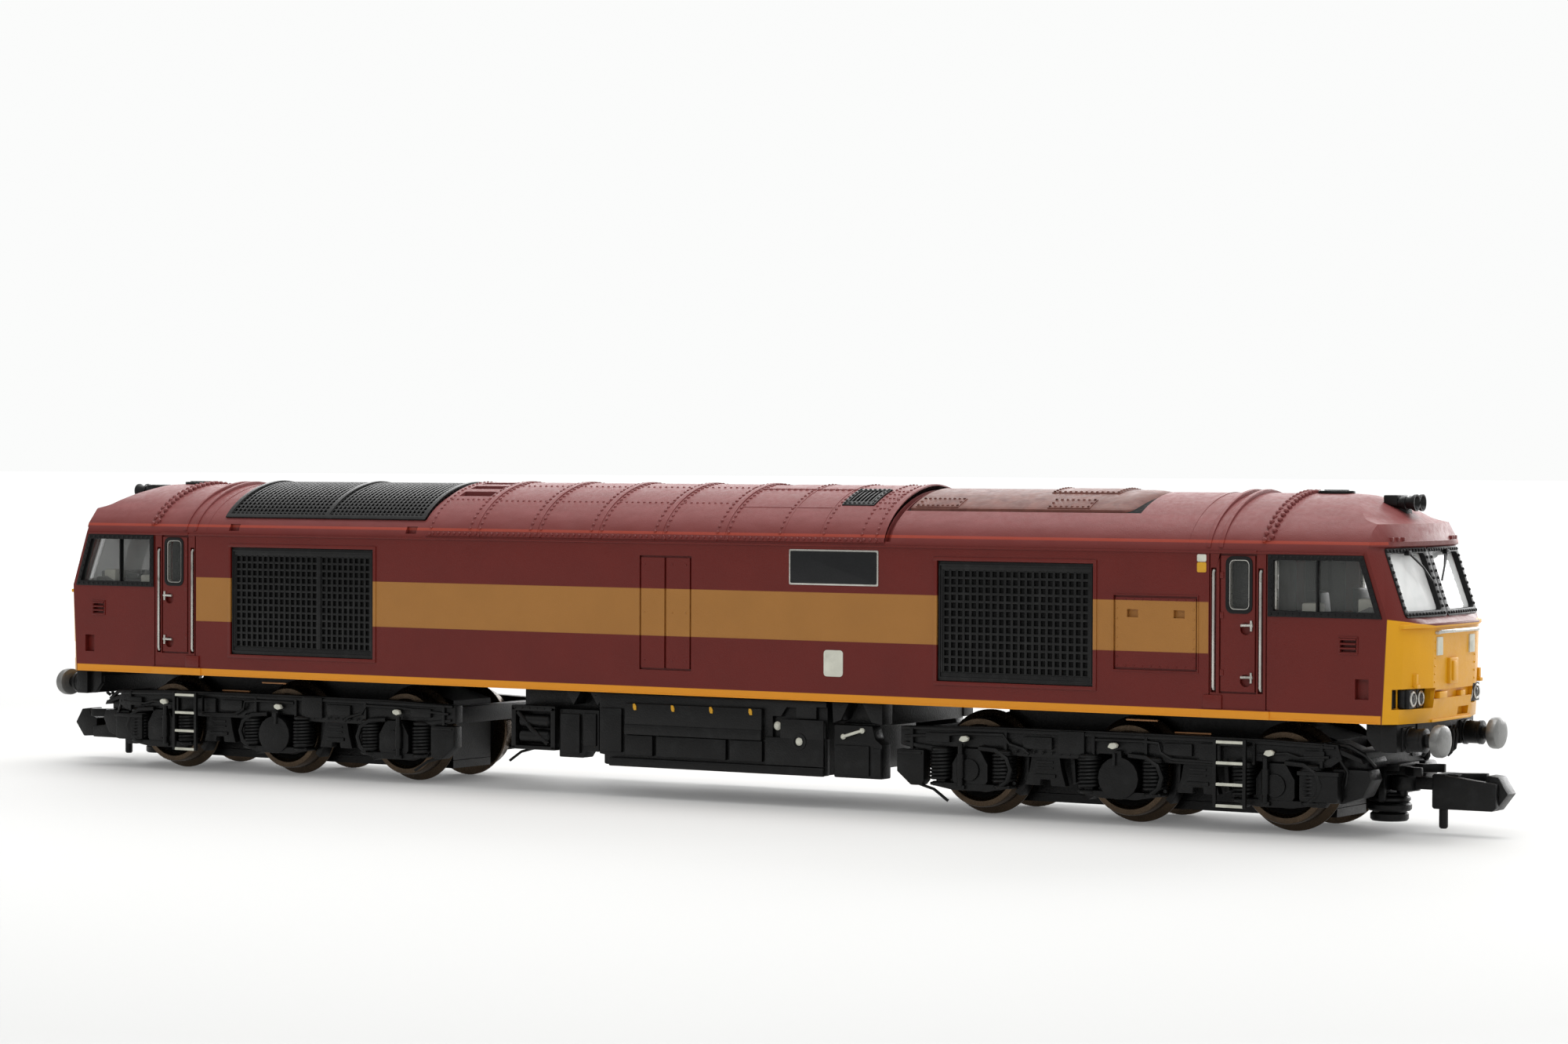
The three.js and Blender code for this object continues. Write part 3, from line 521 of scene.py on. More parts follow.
def roof_patch(build, x0, x1, y0, y1, out, depth=0.3, steps=24, bevel=0.04, bays=1):
    """A curved slab on the roof between two lengthways and two crosswise edges."""
    a0, a1 = roof_angle(y0), roof_angle(y1)
    xs = [x0 + (x1 - x0) * i / bays for i in range(bays + 1)]
    part = bmesh.new()
    rows = []
    for i in range(steps + 1):
        angle = a0 + (a1 - a0) * i / steps
        top, low = roof_at(angle, out), roof_at(angle, -depth)
        rows.append([part.verts.new((x, *top)) for x in xs] + [part.verts.new((x, *low)) for x in xs[::-1]])
    loft(part, rows, False)
    for row in (rows[0], rows[-1]):
        for i in range(bays):
            part.faces.new((row[i], row[i + 1], row[-i - 2], row[-i - 1]))
    bmesh.ops.recalc_face_normals(part, faces=part.faces)
    return build.take(part, bevel)


def roof_rivets(xs, ys, out):
    """Places and normals of rivet heads on the roof's curve."""
    spots = []
    for angle in map(roof_angle, ys):
        spots += [((x, *roof_at(angle, out)), roof_normal(angle, out)) for x in xs]
    return spots


def arc_ys(y0, y1, pitch):
    """Y values spaced evenly along the roof's curve."""
    a0, a1 = roof_angle(y0), roof_angle(y1)
    fine = [a0 + (a1 - a0) * i / 200 for i in range(201)]
    points = [roof_at(a) for a in fine]
    lengths = [0.0]
    for p, q in zip(points, points[1:]):
        lengths.append(lengths[-1] + math.dist(p, q))
    count = max(1, round(lengths[-1] / pitch))
    ys = []
    for k in range(count + 1):
        target = lengths[-1] * k / count
        i = min(range(201), key=lambda n: abs(lengths[n] - target))
        ys.append(points[i][0])
    return ys


def spread(low, high, pitch):
    count = max(1, round((high - low) / pitch))
    return [low + (high - low) * i / count for i in range(count + 1)]


# ---------- the cab end's outline in plan, at rising heights ----------

CAB_LEVELS = (
    # z, end of the flat side, corner (x, y), flank (x, y), centre
    (9.2, 67.8, 68.8, 8.0, 69.86, 4.11, 69.88),
    (11.9, 67.9, 69.0, 7.85, 70.2, 4.4, 70.22),
    (16.84, 68.2, 69.15, 7.75, 70.28, 4.4, 70.32),
    (17.45, 68.22, 69.09, 7.45, 69.38, 4.3, 69.55),
    (22.97, 66.35, 67.18, 7.5, 67.45, 4.4, 67.62),
    (23.1, 66.4, 67.4, 7.55, 67.8, 4.6, 68.05),
    (23.45, 66.3, 67.36, 7.52, 67.9, 4.7, 68.22),
    (24.85, 65.75, 66.75, 7.05, 67.3, 4.7, 67.72),
    (25.2, 64.6, 65.6, 6.4, 66.3, 4.4, 67.05),
    (25.7, 63.8, 64.7, 6.0, 65.6, 3.8, 66.2),
    (26.4, 62.3, 63.2, 5.4, 64.1, 3.2, 64.9),
    (27.0, 60.3, 61.0, 4.6, 62.4, 2.6, 63.4),
    (27.22, 58.0, 59.0, 4.4, 60.5, 2.4, 61.2),
    (28.5, 57.6, 58.6, 4.4, 60.1, 2.4, 60.8),
)


def cab_level(z):
    for low, high in zip(CAB_LEVELS, CAB_LEVELS[1:]):
        if low[0] <= z <= high[0]:
            t = (z - low[0]) / (high[0] - low[0])
            return [a + (b - a) * t for a, b in zip(low, high)]
    return list(CAB_LEVELS[0] if z < CAB_LEVELS[0][0] else CAB_LEVELS[-1])


def front_x(y, z):
    """How far forward the cab front is at a place across and up."""
    _, side, corner_x, corner_y, flank_x, flank_y, centre = cab_level(z)
    stops = ((0.0, centre), (flank_y, flank_x), (corner_y, corner_x), (HALF_WIDTH, side))
    y = min(abs(y), HALF_WIDTH)
    for (a, xa), (b, xb) in zip(stops, stops[1:]):
        if y <= b:
            return xa + (xb - xa) * (y - a) / (b - a)
    return side


def smooth_levels():
    """The cab's levels with the dome above the hood divided more finely."""
    levels = list(CAB_LEVELS[:8])
    dome = CAB_LEVELS[7:13]
    for k in range(1, 29):
        t = k / 28 * (len(dome) - 1)
        i = min(int(t), len(dome) - 2)
        f = t - i
        p = [dome[max(i - 1, 0)], dome[i], dome[i + 1], dome[min(i + 2, len(dome) - 1)]]
        levels.append([0.5 * (2 * b + (c - a) * f + (2 * a - 5 * b + 4 * c - d) * f * f
            + (3 * b - a - 3 * c + d) * f ** 3) for a, b, c, d in zip(*p)])
    levels.append(CAB_LEVELS[-1])
    return levels


def plan_ring(level, inset):
    z, side, corner_x, corner_y, flank_x, flank_y, centre = level
    narrow = inset * 0.5
    half = [(side - inset, -HALF_WIDTH - 1), (side - inset, -HALF_WIDTH),
        (corner_x - inset, narrow - corner_y), ((corner_x + flank_x) / 2 - inset + 0.05,
        narrow - (corner_y + flank_y) / 2), (flank_x - inset, narrow - flank_y),
        ((flank_x + 3 * centre) / 4 - inset, narrow - flank_y / 2), (centre - inset, 0)]
    front = half + [(x, -y) for x, y in half[-2::-1]]
    rear = [(-x, -y) for x, y in front]
    height = z - inset * 0.8 if z > 20 else z
    return [(x, y, height) for x, y in front + rear]


def solid_from_rings(rings):
    part = bmesh.new()
    loft(part, [[part.verts.new(p) for p in ring] for ring in rings])
    bmesh.ops.triangulate(part, faces=part.faces)
    bmesh.ops.recalc_face_normals(part, faces=part.faces)
    return part


def envelope(inset, drop, roof_steps=72):
    """The body's outside, or the same shape set in by a wall's thickness."""
    levels = smooth_levels()
    rings = [plan_ring(level, inset) for level in levels]
    rings[0] = [(x, y, z - drop) for x, y, z in rings[0]]
    stack = as_object(solid_from_rings(rings))
    rises = spread(BODY_BOTTOM - drop - 0.5, SIDE_TOP, 2.7)[:-1]
    outline = [(HALF_WIDTH - inset, z) for z in rises]
    outline += [roof_at(math.pi * i / roof_steps, -inset) for i in range(roof_steps + 1)]
    outline += [(inset - HALF_WIDTH, z) for z in rises[::-1]]
    section = as_object(solid_from_rings([[(x, y, z) for y, z in outline] for x in spread(-74, 74, 3.0)]))
    return combine(stack, section, "INTERSECT")


def as_object(part):
    """A scratch object for the booleans, which takes the bmesh up."""
    data = bpy.data.meshes.new("solid")
    part.to_mesh(data)
    part.free()
    found = bpy.data.objects.new("solid", data)
    bpy.context.scene.collection.objects.link(found)
    return found


def combine(first, second, operation):
    """A boolean between two scratch solids; the result takes the first one's place."""
    modifier = first.modifiers.new("boolean", "BOOLEAN")
    modifier.operation = operation
    modifier.object = second
    modifier.solver = "MANIFOLD"
    bpy.context.view_layer.update()
    result = bpy.data.meshes.new_from_object(first.evaluated_get(bpy.context.evaluated_depsgraph_get()))
    bpy.data.objects.remove(second)
    first.modifiers.clear()
    first.data = result
    return first


# ---------- the body shell ----------

def rounded(x0, x1, z0, z1, radius, steps=4):
    points = []
    for cx, cz, start in ((x1, z1, 0), (x0, z1, 90), (x0, z0, 180), (x1, z0, 270)):
        sx = cx - math.copysign(radius, cx - (x0 + x1) / 2)
        sz = cz - math.copysign(radius, cz - (z0 + z1) / 2)
        for i in range(steps + 1):
            angle = math.radians(start + 90 * i / steps)
            points.append((sx + radius * math.cos(angle), sz + radius * math.sin(angle)))
    return points


def circle(x, z, radius, count, flip):
    """Points round a circle, from its +X side, or from its -X side where flip is -1."""
    angles = [2 * math.pi * i / count for i in range(count)]
    return [(x + flip * radius * math.cos(a), z + radius * math.sin(a)) for a in angles]


def window_cutters():
    cut = Build("livery")
    for place in (1, -1):
        outline = [(place * x, z) for x, z in SIDE_WINDOW]
        door = [(place * x, z) for x, z in rounded(54.5, 56.5, 17.8, 22.0, 0.5)]
        for side in cut.sides():
            cut.plate(outline, 7.6, 9.5, 0)
            cut.plate(door, 7.6, 9.5, 0)
            pane = rounded(*sorted((side * 0.75, side * 6.95)), 17.95, 22.55, 0.3)
            cut.prism(pane, *sorted((place * 64.0, place * 71.0)), "x", 0)
    return as_object(cut.mesh)


def sink(cut, x0, x1, z0, z1, depth):
    """A pocket cut into the current side."""
    cut.slab(x0, x1, HALF_WIDTH - depth, HALF_WIDTH + 0.5, z0, z1, 0)


def groove(cut, x0, x1, z0, z1, width, depth):
    """A rectangular outline cut into the current side."""
    x0, x1 = sorted((x0, x1))
    sink(cut, x0, x1, z0, z0 + width, depth)
    sink(cut, x0, x1, z1 - width, z1, depth)
    sink(cut, x0, x0 + width, z0 + width, z1 - width, depth)
    sink(cut, x1 - width, x1, z0 + width, z1 - width, depth)


def side_cutters():
    cut = Build("livery")
    for _ in cut.sides():
        for x0, x1 in GRILLES:
            sink(cut, x0, x1, *GRILLE_HEIGHTS, 0.5)
        groove(cut, *PANEL, 0.18, 0.2)
        sink(cut, 0.36, 0.58, 11.53, 21.18, 0.2)
        groove(cut, *HATCH, 0.17, 0.16)
        for x in (45.5, 49.7):
            sink(cut, x, x + 1.0, 17.1, 17.75, 0.35)
        for place in (1, -1):
            for x0, x1 in HANDRAIL_SLOTS:
                sink(cut, place * x0, place * x1, 11.25, 21.25, 0.42)
            groove(cut, place * DOOR[0], place * DOOR[1], 11.2, 22.38, 0.16, 0.2)
            for z in (16.4, 12.25):
                disc = circle(place * 56.1, z, 0.5, 16, place)
                cut.plate(disc, 8.6, 9.5, 0)
            sink(cut, place * 65.54, place * 66.69, 11.1, 12.7, 0.5)
            for z in (14.82, 15.18, 15.54):
                sink(cut, place * 64.3, place * 65.62, z, z + 0.2, 0.35)
            sink(cut, place * 52.5, place * 57.9, 9.0, 9.2, 0.3)
            for x0, x1 in ((52.85, 52.97), (57.84, 57.96)):
                sink(cut, place * x0, place * x1, 9.1, 22.35, 0.15)
        for x0, x1 in ((47.7, 48.9), (26.9, 28.1)):
            sink(cut, -x1, -x0, 22.9, 23.55, 0.6)
    return as_object(cut.mesh)


def front_cutters():
    cut = Build("livery")
    for place in (1, -1):
        for side in cut.sides():
            outline = [(x * place, y * side) for x, y in ((68.72, 3.9), (71.0, 3.9), (71.0, 8.4),
                (68.05, 8.4), (68.05, 8.1), (68.5, 7.4))]
            cut.prism(outline[::place * side], 10.35, 11.95, "z", 0)
        cut.box(place * 69.45, place * 71.0, 2.4 * place - 1.1, 2.4 * place + 1.1, 9.55, 10.2, 0)
        cut.box(place * 69.8, place * 71.0, -4.0, 4.0, 11.05, 11.75, 0)
    return as_object(cut.mesh)


def roof_cutters():
    cut = Build("livery")
    x0, x1, half = ROOF_GRILLE
    roof_patch(cut, x0, x1, half, -half, CUT_TOP, 0.75, steps=48, bevel=0)
    x0, x1, half = SILENCER
    roof_patch(cut, x0, x1, half, -half, CUT_TOP, 0.7, steps=40, bevel=0)
    for high, low in RECESS_ROWS:
        roof_patch(cut, *RECESS_SPAN, high, low, CUT_TOP, 0.5, steps=8, bevel=0)
    roof_patch(cut, RAISED_SPAN[1] + 0.02, RAISED_SPAN[1] + 0.55, 8.85, -8.85, CUT_TOP, 0.55, steps=48,
        bevel=0)
    return as_object(cut.mesh)


def raised_roof():
    """The thicker middle of the roof, with its openings cut."""
    part = Build("livery")
    roof_patch(part, *RAISED_SPAN, 8.87, -8.87, RAISED, 0.4, steps=72, bevel=0, bays=16)
    found = as_object(part.mesh)
    cut = Build("livery")
    for high, low in RECESS_ROWS:
        roof_patch(cut, *RECESS_SPAN, high, low, CUT_TOP, 0.7, steps=8, bevel=0)
    x0, x1, y0, y1 = VENT
    roof_patch(cut, x0, x1, y1, y0, CUT_TOP, 0.7, steps=8, bevel=0)
    roof_patch(cut, 6.6, 8.7, 0.9, -0.9, CUT_TOP, -0.05, steps=6, bevel=0)
    return combine(found, as_object(cut.mesh), "DIFFERENCE")


def body_mesh():
    shell = combine(envelope(0, 0), envelope(WALL, 1), "DIFFERENCE")
    for cutter in (window_cutters(), side_cutters(), front_cutters(), roof_cutters()):
        shell = combine(shell, cutter, "DIFFERENCE")
    return shell


def roof_details(build):
    """Ribs, rivet rows, seams and hatches over the roof."""
    x0, x1 = RAISED_SPAN
    top = RAISED
    full = arc_ys(8.84, -8.84, 0.58)
    for x in (-20.3, -13.6, -7.0, -0.2, 6.3):
        roof_patch(build, x - 0.27, x + 0.27, ROOF_EDGE, -ROOF_EDGE, top + 0.13, steps=64)
        build.domes(roof_rivets((x - 0.56, x + 0.56), full, top), 0.17)
    for x in (12.1, 16.5, 20.3, x0 + 0.45):
        build.domes(roof_rivets((x,), full, top), 0.15)
    roof_patch(build, x1 - 0.5, x1, ROOF_EDGE, -ROOF_EDGE, top + 0.13, steps=64)
    build.domes(roof_rivets((x1 - 0.85,), full, top), 0.16)
    for x in (12.45, 16.1):
        roof_patch(build, x - 0.05, x + 0.05, ROOF_EDGE, -ROOF_EDGE, top + 0.05, steps=64, bevel=0.02)
    low_edge = roof_rivets(spread(x0 + 0.8, x1 - 0.8, 0.6), (8.8, -8.8), top)
    build.domes(low_edge, 0.17)
    for y in (5.88, 2.42, -2.42, -5.88):
        build.domes(roof_rivets(spread(-19.4, 5.6, 0.62), (y,), top), 0.13)
    build.domes(roof_rivets(spread(7.0, 16.2, 0.6), (2.9, -2.9), top), 0.19)
    build.domes(roof_rivets(spread(-25.0, -20.9, 0.55), (5.7, -5.7), top), 0.13)
    build.domes(roof_rivets(spread(20.8, 21.6, 0.4), (-6.4, -5.6, -4.8, -4.0, -3.2), top), 0.13)
    for y in (6.2, 3.1, -2.75, -6.35):
        roof_patch(build, 6.8, 16.4, y + 0.07, y - 0.07, top + 0.06, steps=2, bevel=0.02)
    for middle, rows in ((53.3, (-0.55, 0.55)), (-53.6, (-0.6, 0.6))):
        for dx in rows:
            roof_patch(build, middle + dx - 0.2, middle + dx + 0.2, 8.85, -8.85, 0.3, steps=64, bevel=0.08)
    for x in (57.85, -58.1):
        roof_patch(build, x - 0.22, x + 0.22, 8.6, -8.6, 0.2, steps=64)
        ys = arc_ys(8.55, -8.55, 0.66)
        build.domes(roof_rivets((x - 0.28,), ys, 0.08), 0.26, 0.9)
        shifted = [(a + b) / 2 for a, b in zip(ys, ys[1:])]
        build.domes(roof_rivets((x + 0.28,), shifted, 0.08), 0.26, 0.9)
    for x in (50.9, -51.6):
        roof_patch(build, x - 0.04, x + 0.04, 8.85, -8.85, 0.04, steps=64, bevel=0)


def side_details(build):
    """Gutters, raised borders, rivets and small fittings on both sides."""
    for side in build.sides():
        face = side * HALF_WIDTH

        def slab(a, b, low, high, proud, bevel=0.04):
            y0, y1 = sorted((face - side * 0.1, face + side * proud))
            build.box(a, b, y0, y1, low, high, bevel)

        slab(-66.2, 66.2, 22.4, 22.56, 0.1)
        slab(-67.4, 67.4, 9.2, 9.32, 0.06)
        for x0, x1 in GRILLES:
            for a, b, low, high in ((x0 - 0.3, x1 + 0.3, 11.0, 11.32), (x0 - 0.3, x1 + 0.3, 21.38, 21.7),
                    (x0 - 0.3, x0 + 0.02, 11.3, 21.4), (x1 - 0.02, x1 + 0.3, 11.3, 21.4)):
                slab(a, b, low, high, 0.1)
        for a, b, low, high in ((44.2, 51.93, 12.72, 12.82), (44.2, 51.93, 18.88, 18.98),
                (44.2, 44.3, 12.8, 18.9), (51.83, 51.93, 12.8, 18.9)):
            slab(a, b, low, high, 0.07, 0.02)
        rivets = [(x, face, z) for x in spread(44.6, 51.5, 0.75) for z in (13.15, 18.55)]
        rivets += [(x, face, z) for x in (44.6, 51.5) for z in spread(13.9, 17.8, 0.75)]
        rivets += [(x, face, z) for x in (1.2, 2.6, -1.7) for z in (20.6, 16.4, 12.2)]
        build.domes([(spot, (0, side, 0)) for spot in rivets], 0.09)
        for x in (16.85, 18.45):
            build.domes([((x, face, z), (0, side, 0)) for z in (11.45, 13.45)], 0.08)
        for place in (1, -1):
            a, b = sorted((place * 64.14, place * 65.78))
            for k in range(3):
                slab(a + 0.15, b - 0.15, 15.02 + 0.36 * k, 15.15 + 0.36 * k, 0.16, 0.05)
            for x0, x1, z0, z1 in ((a, b, 14.62, 14.76), (a, b, 15.9, 16.04), (a, a + 0.12, 14.7, 16.0),
                    (b - 0.12, b, 14.7, 16.0)):
                slab(x0, x1, z0, z1, 0.08, 0.03)
            a, b = sorted((place * 52.2, place * 58.2))
            slab(a, b, 9.2, 9.95, 0.12)
            a, b = sorted((place * 52.4, place * 54.05))
            slab(a, b, 9.95, 11.05, 0.16, 0.08)
            a, b = sorted(place * x for x in DOOR)
            slab(a, b, 22.4, 22.66, 0.14)
            for z in (12.6, 17.2, 20.4):
                a, b = sorted((place * 53.85, place * 54.15))
                slab(a, b, z, z + 0.5, 0.07, 0.03)


def nose_details(build):
    """Ledges, panels and fixings on a cab front facing +X."""
    tip = front_x(7.75, 16.84)
    build.prism([(tip - 0.5, 8.15), (tip + 0.14, 8.0), (70.46, 4.5), (70.46, -4.5), (tip + 0.14, -8.0),
        (tip - 0.5, -8.15)], 16.7, 17.02, "z", 0.06)
    build.box(70.0, 70.5, -1.55, 0.2, 12.15, 14.25, 0.12)
    build.box(70.3, 70.66, -1.2, -0.5, 12.4, 14.0, 0.1)
    build.box(69.6, 70.3, -3.2, -1.6, 11.05, 11.6, 0.08)
    build.box(69.6, 70.2, 1.4, 2.4, 11.05, 11.5, 0.06)
    build.box(69.6, 70.02, -4.08, 4.08, 9.2, 9.42, 0.05)
    for y in (-4.1, 4.1):
        build.domes([((front_x(y, z), y, z), (1, 0, 0)) for z in spread(12.4, 16.2, 0.62)], 0.1)
    for _ in build.sides():
        for y in (4.9, 5.7, 6.5):
            x = front_x(y, 23.7)
            build.slab(x - 0.1, x + 0.24, y - 0.16, y + 0.16, 23.5, 23.82, 0.06)
        x = front_x(6.5, 12.6)
        build.slab(x - 0.1, x + 0.3, 6.3, 6.7, 12.1, 13.1, 0.06)
        build.slab(x + 0.12, x + 0.42, 6.2, 6.8, 12.0, 12.3, 0.05)


def lamp_bay(build):
    """The recessed light clusters of a cab front facing +X."""
    for side in build.sides():
        build.use("black")
        build.slab(68.5, 69.1, 4.25, 7.5, 10.42, 11.88, 0.12)
        build.slab(68.0, 68.42, 7.5, 8.3, 10.42, 11.88, 0.08)
        for y in (5.06, 6.56):
            at = (0, side * y, 11.15)
            build.use("silver")
            build.lathe([(0.42, 69.0), (0.62, 69.05), (0.62, 69.5), (0.5, 69.56), (0.44, 69.5),
                (0.42, 69.2)], at)
            build.use("black")
            build.slab(69.0, 69.42, y - 0.7, y + 0.7, 10.4, 11.9, 0.06)
            build.use("lens")
            build.lathe([(0.5, 69.05), (0.46, 69.4), (0.3, 69.5), (0.0, 69.54)], at)
        build.use("frame")
        build.slab(68.8, 69.1, 2.1, 2.9, 10.5, 11.3, 0.08)
        build.slab(68.8, 69.1, 3.2, 3.8, 10.5, 11.3, 0.08)


BODY_PAINTS = ("livery", "black", "silver", "lens", "frame")


def make_body():
    shell = body_mesh()
    build = Build(*BODY_PAINTS)
    for found in (shell, raised_roof()):
        build.mesh.from_mesh(found.data)
        bpy.data.objects.remove(found)
    roof_details(build)
    side_details(build)
    for place in (1, -1):
        nose = Build(*BODY_PAINTS)
        nose_details(nose)
        lamp_bay(nose)
        data = bpy.data.meshes.new("nose")
        nose.mesh.to_mesh(data)
        nose.mesh.free()
        data.transform(end_matrix(place))
        build.mesh.from_mesh(data)
        bpy.data.meshes.remove(data)
    build.stand_in("body_shell", "body_paint", sharp=28)


# ---------- outlines and frames ----------

def resample(points, pitch):
    """The same closed outline with extra points along its long edges."""
    out = []
    for (a, b), (c, d) in zip(points, points[1:] + points[:1]):
        count = max(1, int(math.dist((a, b), (c, d)) / pitch))
        out += [(a + (c - a) * i / count, b + (d - b) * i / count) for i in range(count)]
    return out


def side_frame(build, outer, inner, side, proud=0.12, deep=0.5):
    """A flat frame on a side, between two outlines with equally many points."""
    part = bmesh.new()
    face, back = side * (HALF_WIDTH + proud), side * (HALF_WIDTH - deep)
    loops = [[part.verts.new((x, y, z)) for x, z in outline] for outline,
        y in ((outer, back), (outer, face), (inner, face), (inner, back))]
    return frame_faces(build, part, loops)


def front_frame(build, outer, inner, out=0.12, deep=0.35):
    """A frame that follows the slope of a cab front; its outlines are (y, z) points."""
    part = bmesh.new()
    loops = [[part.verts.new((front_x(y, z) + lift, y, z)) for y, z in outline] for outline,
        lift in ((outer, -deep), (outer, out), (inner, out), (inner, -deep))]
    return frame_faces(build, part, loops)


def frame_faces(build, part, loops):
    loft(part, loops + loops[:1], False)
    bmesh.ops.recalc_face_normals(part, faces=part.faces)
    return build.take(part, 0.03)


def along_outline(points, pitch):
    """Evenly spaced points on a closed outline."""
    spots = []
    for a, b in zip(points, points[1:] + points[:1]):
        count = max(1, round(math.dist(a, b) / pitch))
        spots += [(a[0] + (b[0] - a[0]) * i / count, a[1] + (b[1] - a[1]) * i / count) for i
            in range(count)]
    return spots


# ---------- cab fittings ----------

def side_window_frames(build, side):
    outer = [(58.03, 17.45), (67.8, 17.45), (66.2, 22.38), (58.03, 22.38)]
    inner = [(58.5, 17.92), (67.2, 17.92), (65.85, 21.95), (58.5, 21.95)]
    middle = [(58.26, 17.68), (67.5, 17.68), (66.02, 22.16), (58.26, 22.16)]
    build.use("rubber")
    side_frame(build, outer, inner, side)
    face = side * (HALF_WIDTH + 0.1)
    spots = [((x, face, z), (0, side, 0)) for x, z in along_outline(middle, 0.6)]
    build.domes(spots, 0.15, 0.75)
    build.slab(62.17, 62.33, 8.5, 8.98, 17.9, 22.0, 0.04)
    door_outer, door_inner = rounded(54.33, 56.69, 17.6, 22.2, 0.6), rounded(*DOOR_GLASS, 0.42)
    side_frame(build, door_outer, door_inner, side, 0.07)
    build.use("silver")
    side_frame(build, rounded(*DOOR_GLASS, 0.42), rounded(54.7, 56.32, 17.98, 21.84, 0.36), side, 0.0)
    build.slab(58.5, 58.68, 8.3, 8.75, 18.0, 21.9, 0.04)


def handrails(build):
    build.use("silver")
    for x in (53.26, 57.39):
        build.wire([(x, 8.55, 11.5), (x, 8.88, 11.52), (x, 8.98, 11.68), (x, 8.98, 20.85), (x, 8.88, 21.0),
            (x, 8.55, 21.02)], 0.115)
    for z in HANDLES:
        build.wire([(55.72, 9.02, z + 0.02), (56.75, 9.02, z + 0.05)], 0.11)
        build.wire([(56.62, 9.02, z + 0.42), (56.62, 9.02, z - 0.42)], 0.1)
        build.turned([(0, 8.75), (0.14, 8.75), (0.14, 9.05), (0, 9.07)], 56.62, z, 12)


def windscreen_frames(build):
    build.use("rubber")
    for side in build.sides():
        y0, y1 = sorted((side * 0.02, side * 7.35))
        i0, i1 = sorted((side * 0.8, side * 6.9))
        outer, inner = rounded(y0, y1, 17.52, 22.95, 0.35), rounded(i0, i1, 18.0, 22.5, 0.35)
        front_frame(build, resample(outer, 1.2), resample_like(outer, inner, 1.2))
        m0, m1 = sorted((side * 0.45, side * 7.12))
        spots = along_outline([(m0, 17.76), (m1, 17.76), (m1, 22.72), (m0, 22.72)], 0.58)
        build.domes([((front_x(y, z) + 0.1, y, z), (1, side * 0.15, 0.35)) for y, z in spots], 0.15, 0.9)
        pivot = side * 3.9
        x = front_x(pivot, 22.6)
        build.box(x, x + 0.42, pivot - 0.3, pivot + 0.3, 22.35, 22.75, 0.06)
        elbow = pivot - side * 1.7
        elbow = (front_x(elbow, 21.4) + 0.33, elbow, 21.4)
        build.tube([(x + 0.35, pivot, 22.5), elbow], 0.09, 6)
        build.tube([(front_x(elbow[1], 22.3) + 0.22, elbow[1] + side * 1.1, 22.3), elbow,
            (front_x(elbow[1], 20.3) + 0.22, elbow[1] - side * 1.2, 20.3)], 0.09, 6)


def resample_like(outer, inner, pitch):
    """Extra points on an inner outline, matched one for one to the outer one's."""
    out = []
    count = len(outer)
    for i in range(count):
        j = (i + 1) % count
        steps = max(1, int(math.dist(outer[i], outer[j]) / pitch))
        (a, b), (c, d) = inner[i], inner[j]
        out += [(a + (c - a) * k / steps, b + (d - b) * k / steps) for k in range(steps)]
    return out


def nose_fittings(build):
    build.use("silver")
    y = 4.05
    build.tube([(70.15, -y, 16.3), (70.55, -y, 16.32), (70.68, 0.3 - y, 16.38), (70.68, y - 0.3, 16.38),
        (70.55, y, 16.32), (70.15, y, 16.3)], 0.15, 10)
    build.use("white")
    for _ in build.sides():
        build.slab(70.15, 70.4, 2.8, 3.85, 14.5, 15.95, 0.05)


def make_cab_fittings(number, place):
    build = Build("rubber", "silver", "white")
    for side in build.sides():
        side_window_frames(build, side)
        handrails(build)
    windscreen_frames(build)
    nose_fittings(build)
    build.piece(f"cab_fittings_{number}", "black_plastic", place=end_matrix(place))


def make_horn(number, place):
    build = Build("black", "deep")
    build.box(64.5, 65.7, -1.15, 1.15, 26.25, 27.12, 0.14)
    build.box(65.1, 66.3, -0.6, 0.6, 25.0, 26.4, 0.14)
    for y in (-0.62, 0.62):
        build.use("black")
        build.lathe([(0, 65.3), (0.44, 65.3), (0.44, 66.0), (0.54, 66.05), (0.54, 66.3), (0.46, 66.35),
            (0.5, 66.7), (0.68, 67.0), (0.68, 67.2), (0.56, 67.2), (0.4, 66.9), (0, 66.85)], (0, y, 26.5))
        build.use("deep")
        build.rod(0.34, 66.8, 66.95, at=(0, y, 26.5))
    build.piece(f"horn_detailed_{number}", "black_plastic", (f"horn_{number}",), end_matrix(place))


def make_roof_pod(number, place):
    build = Build("black")
    outline = rounded(58.41, 61.49, -0.78, 0.78, 0.7, 6)
    build.prism(outline, 27.1, 27.42, "z", 0.08)
    build.prism(rounded(58.9, 61.0, -0.45, 0.45, 0.4, 5), 27.3, 27.5, "z", 0.06)
    build.piece(f"roof_pod_detailed_{number}", "black_plastic", (f"roof_pod_{number}",), end_matrix(place))


# ---------- grilles, silencer and vent ----------

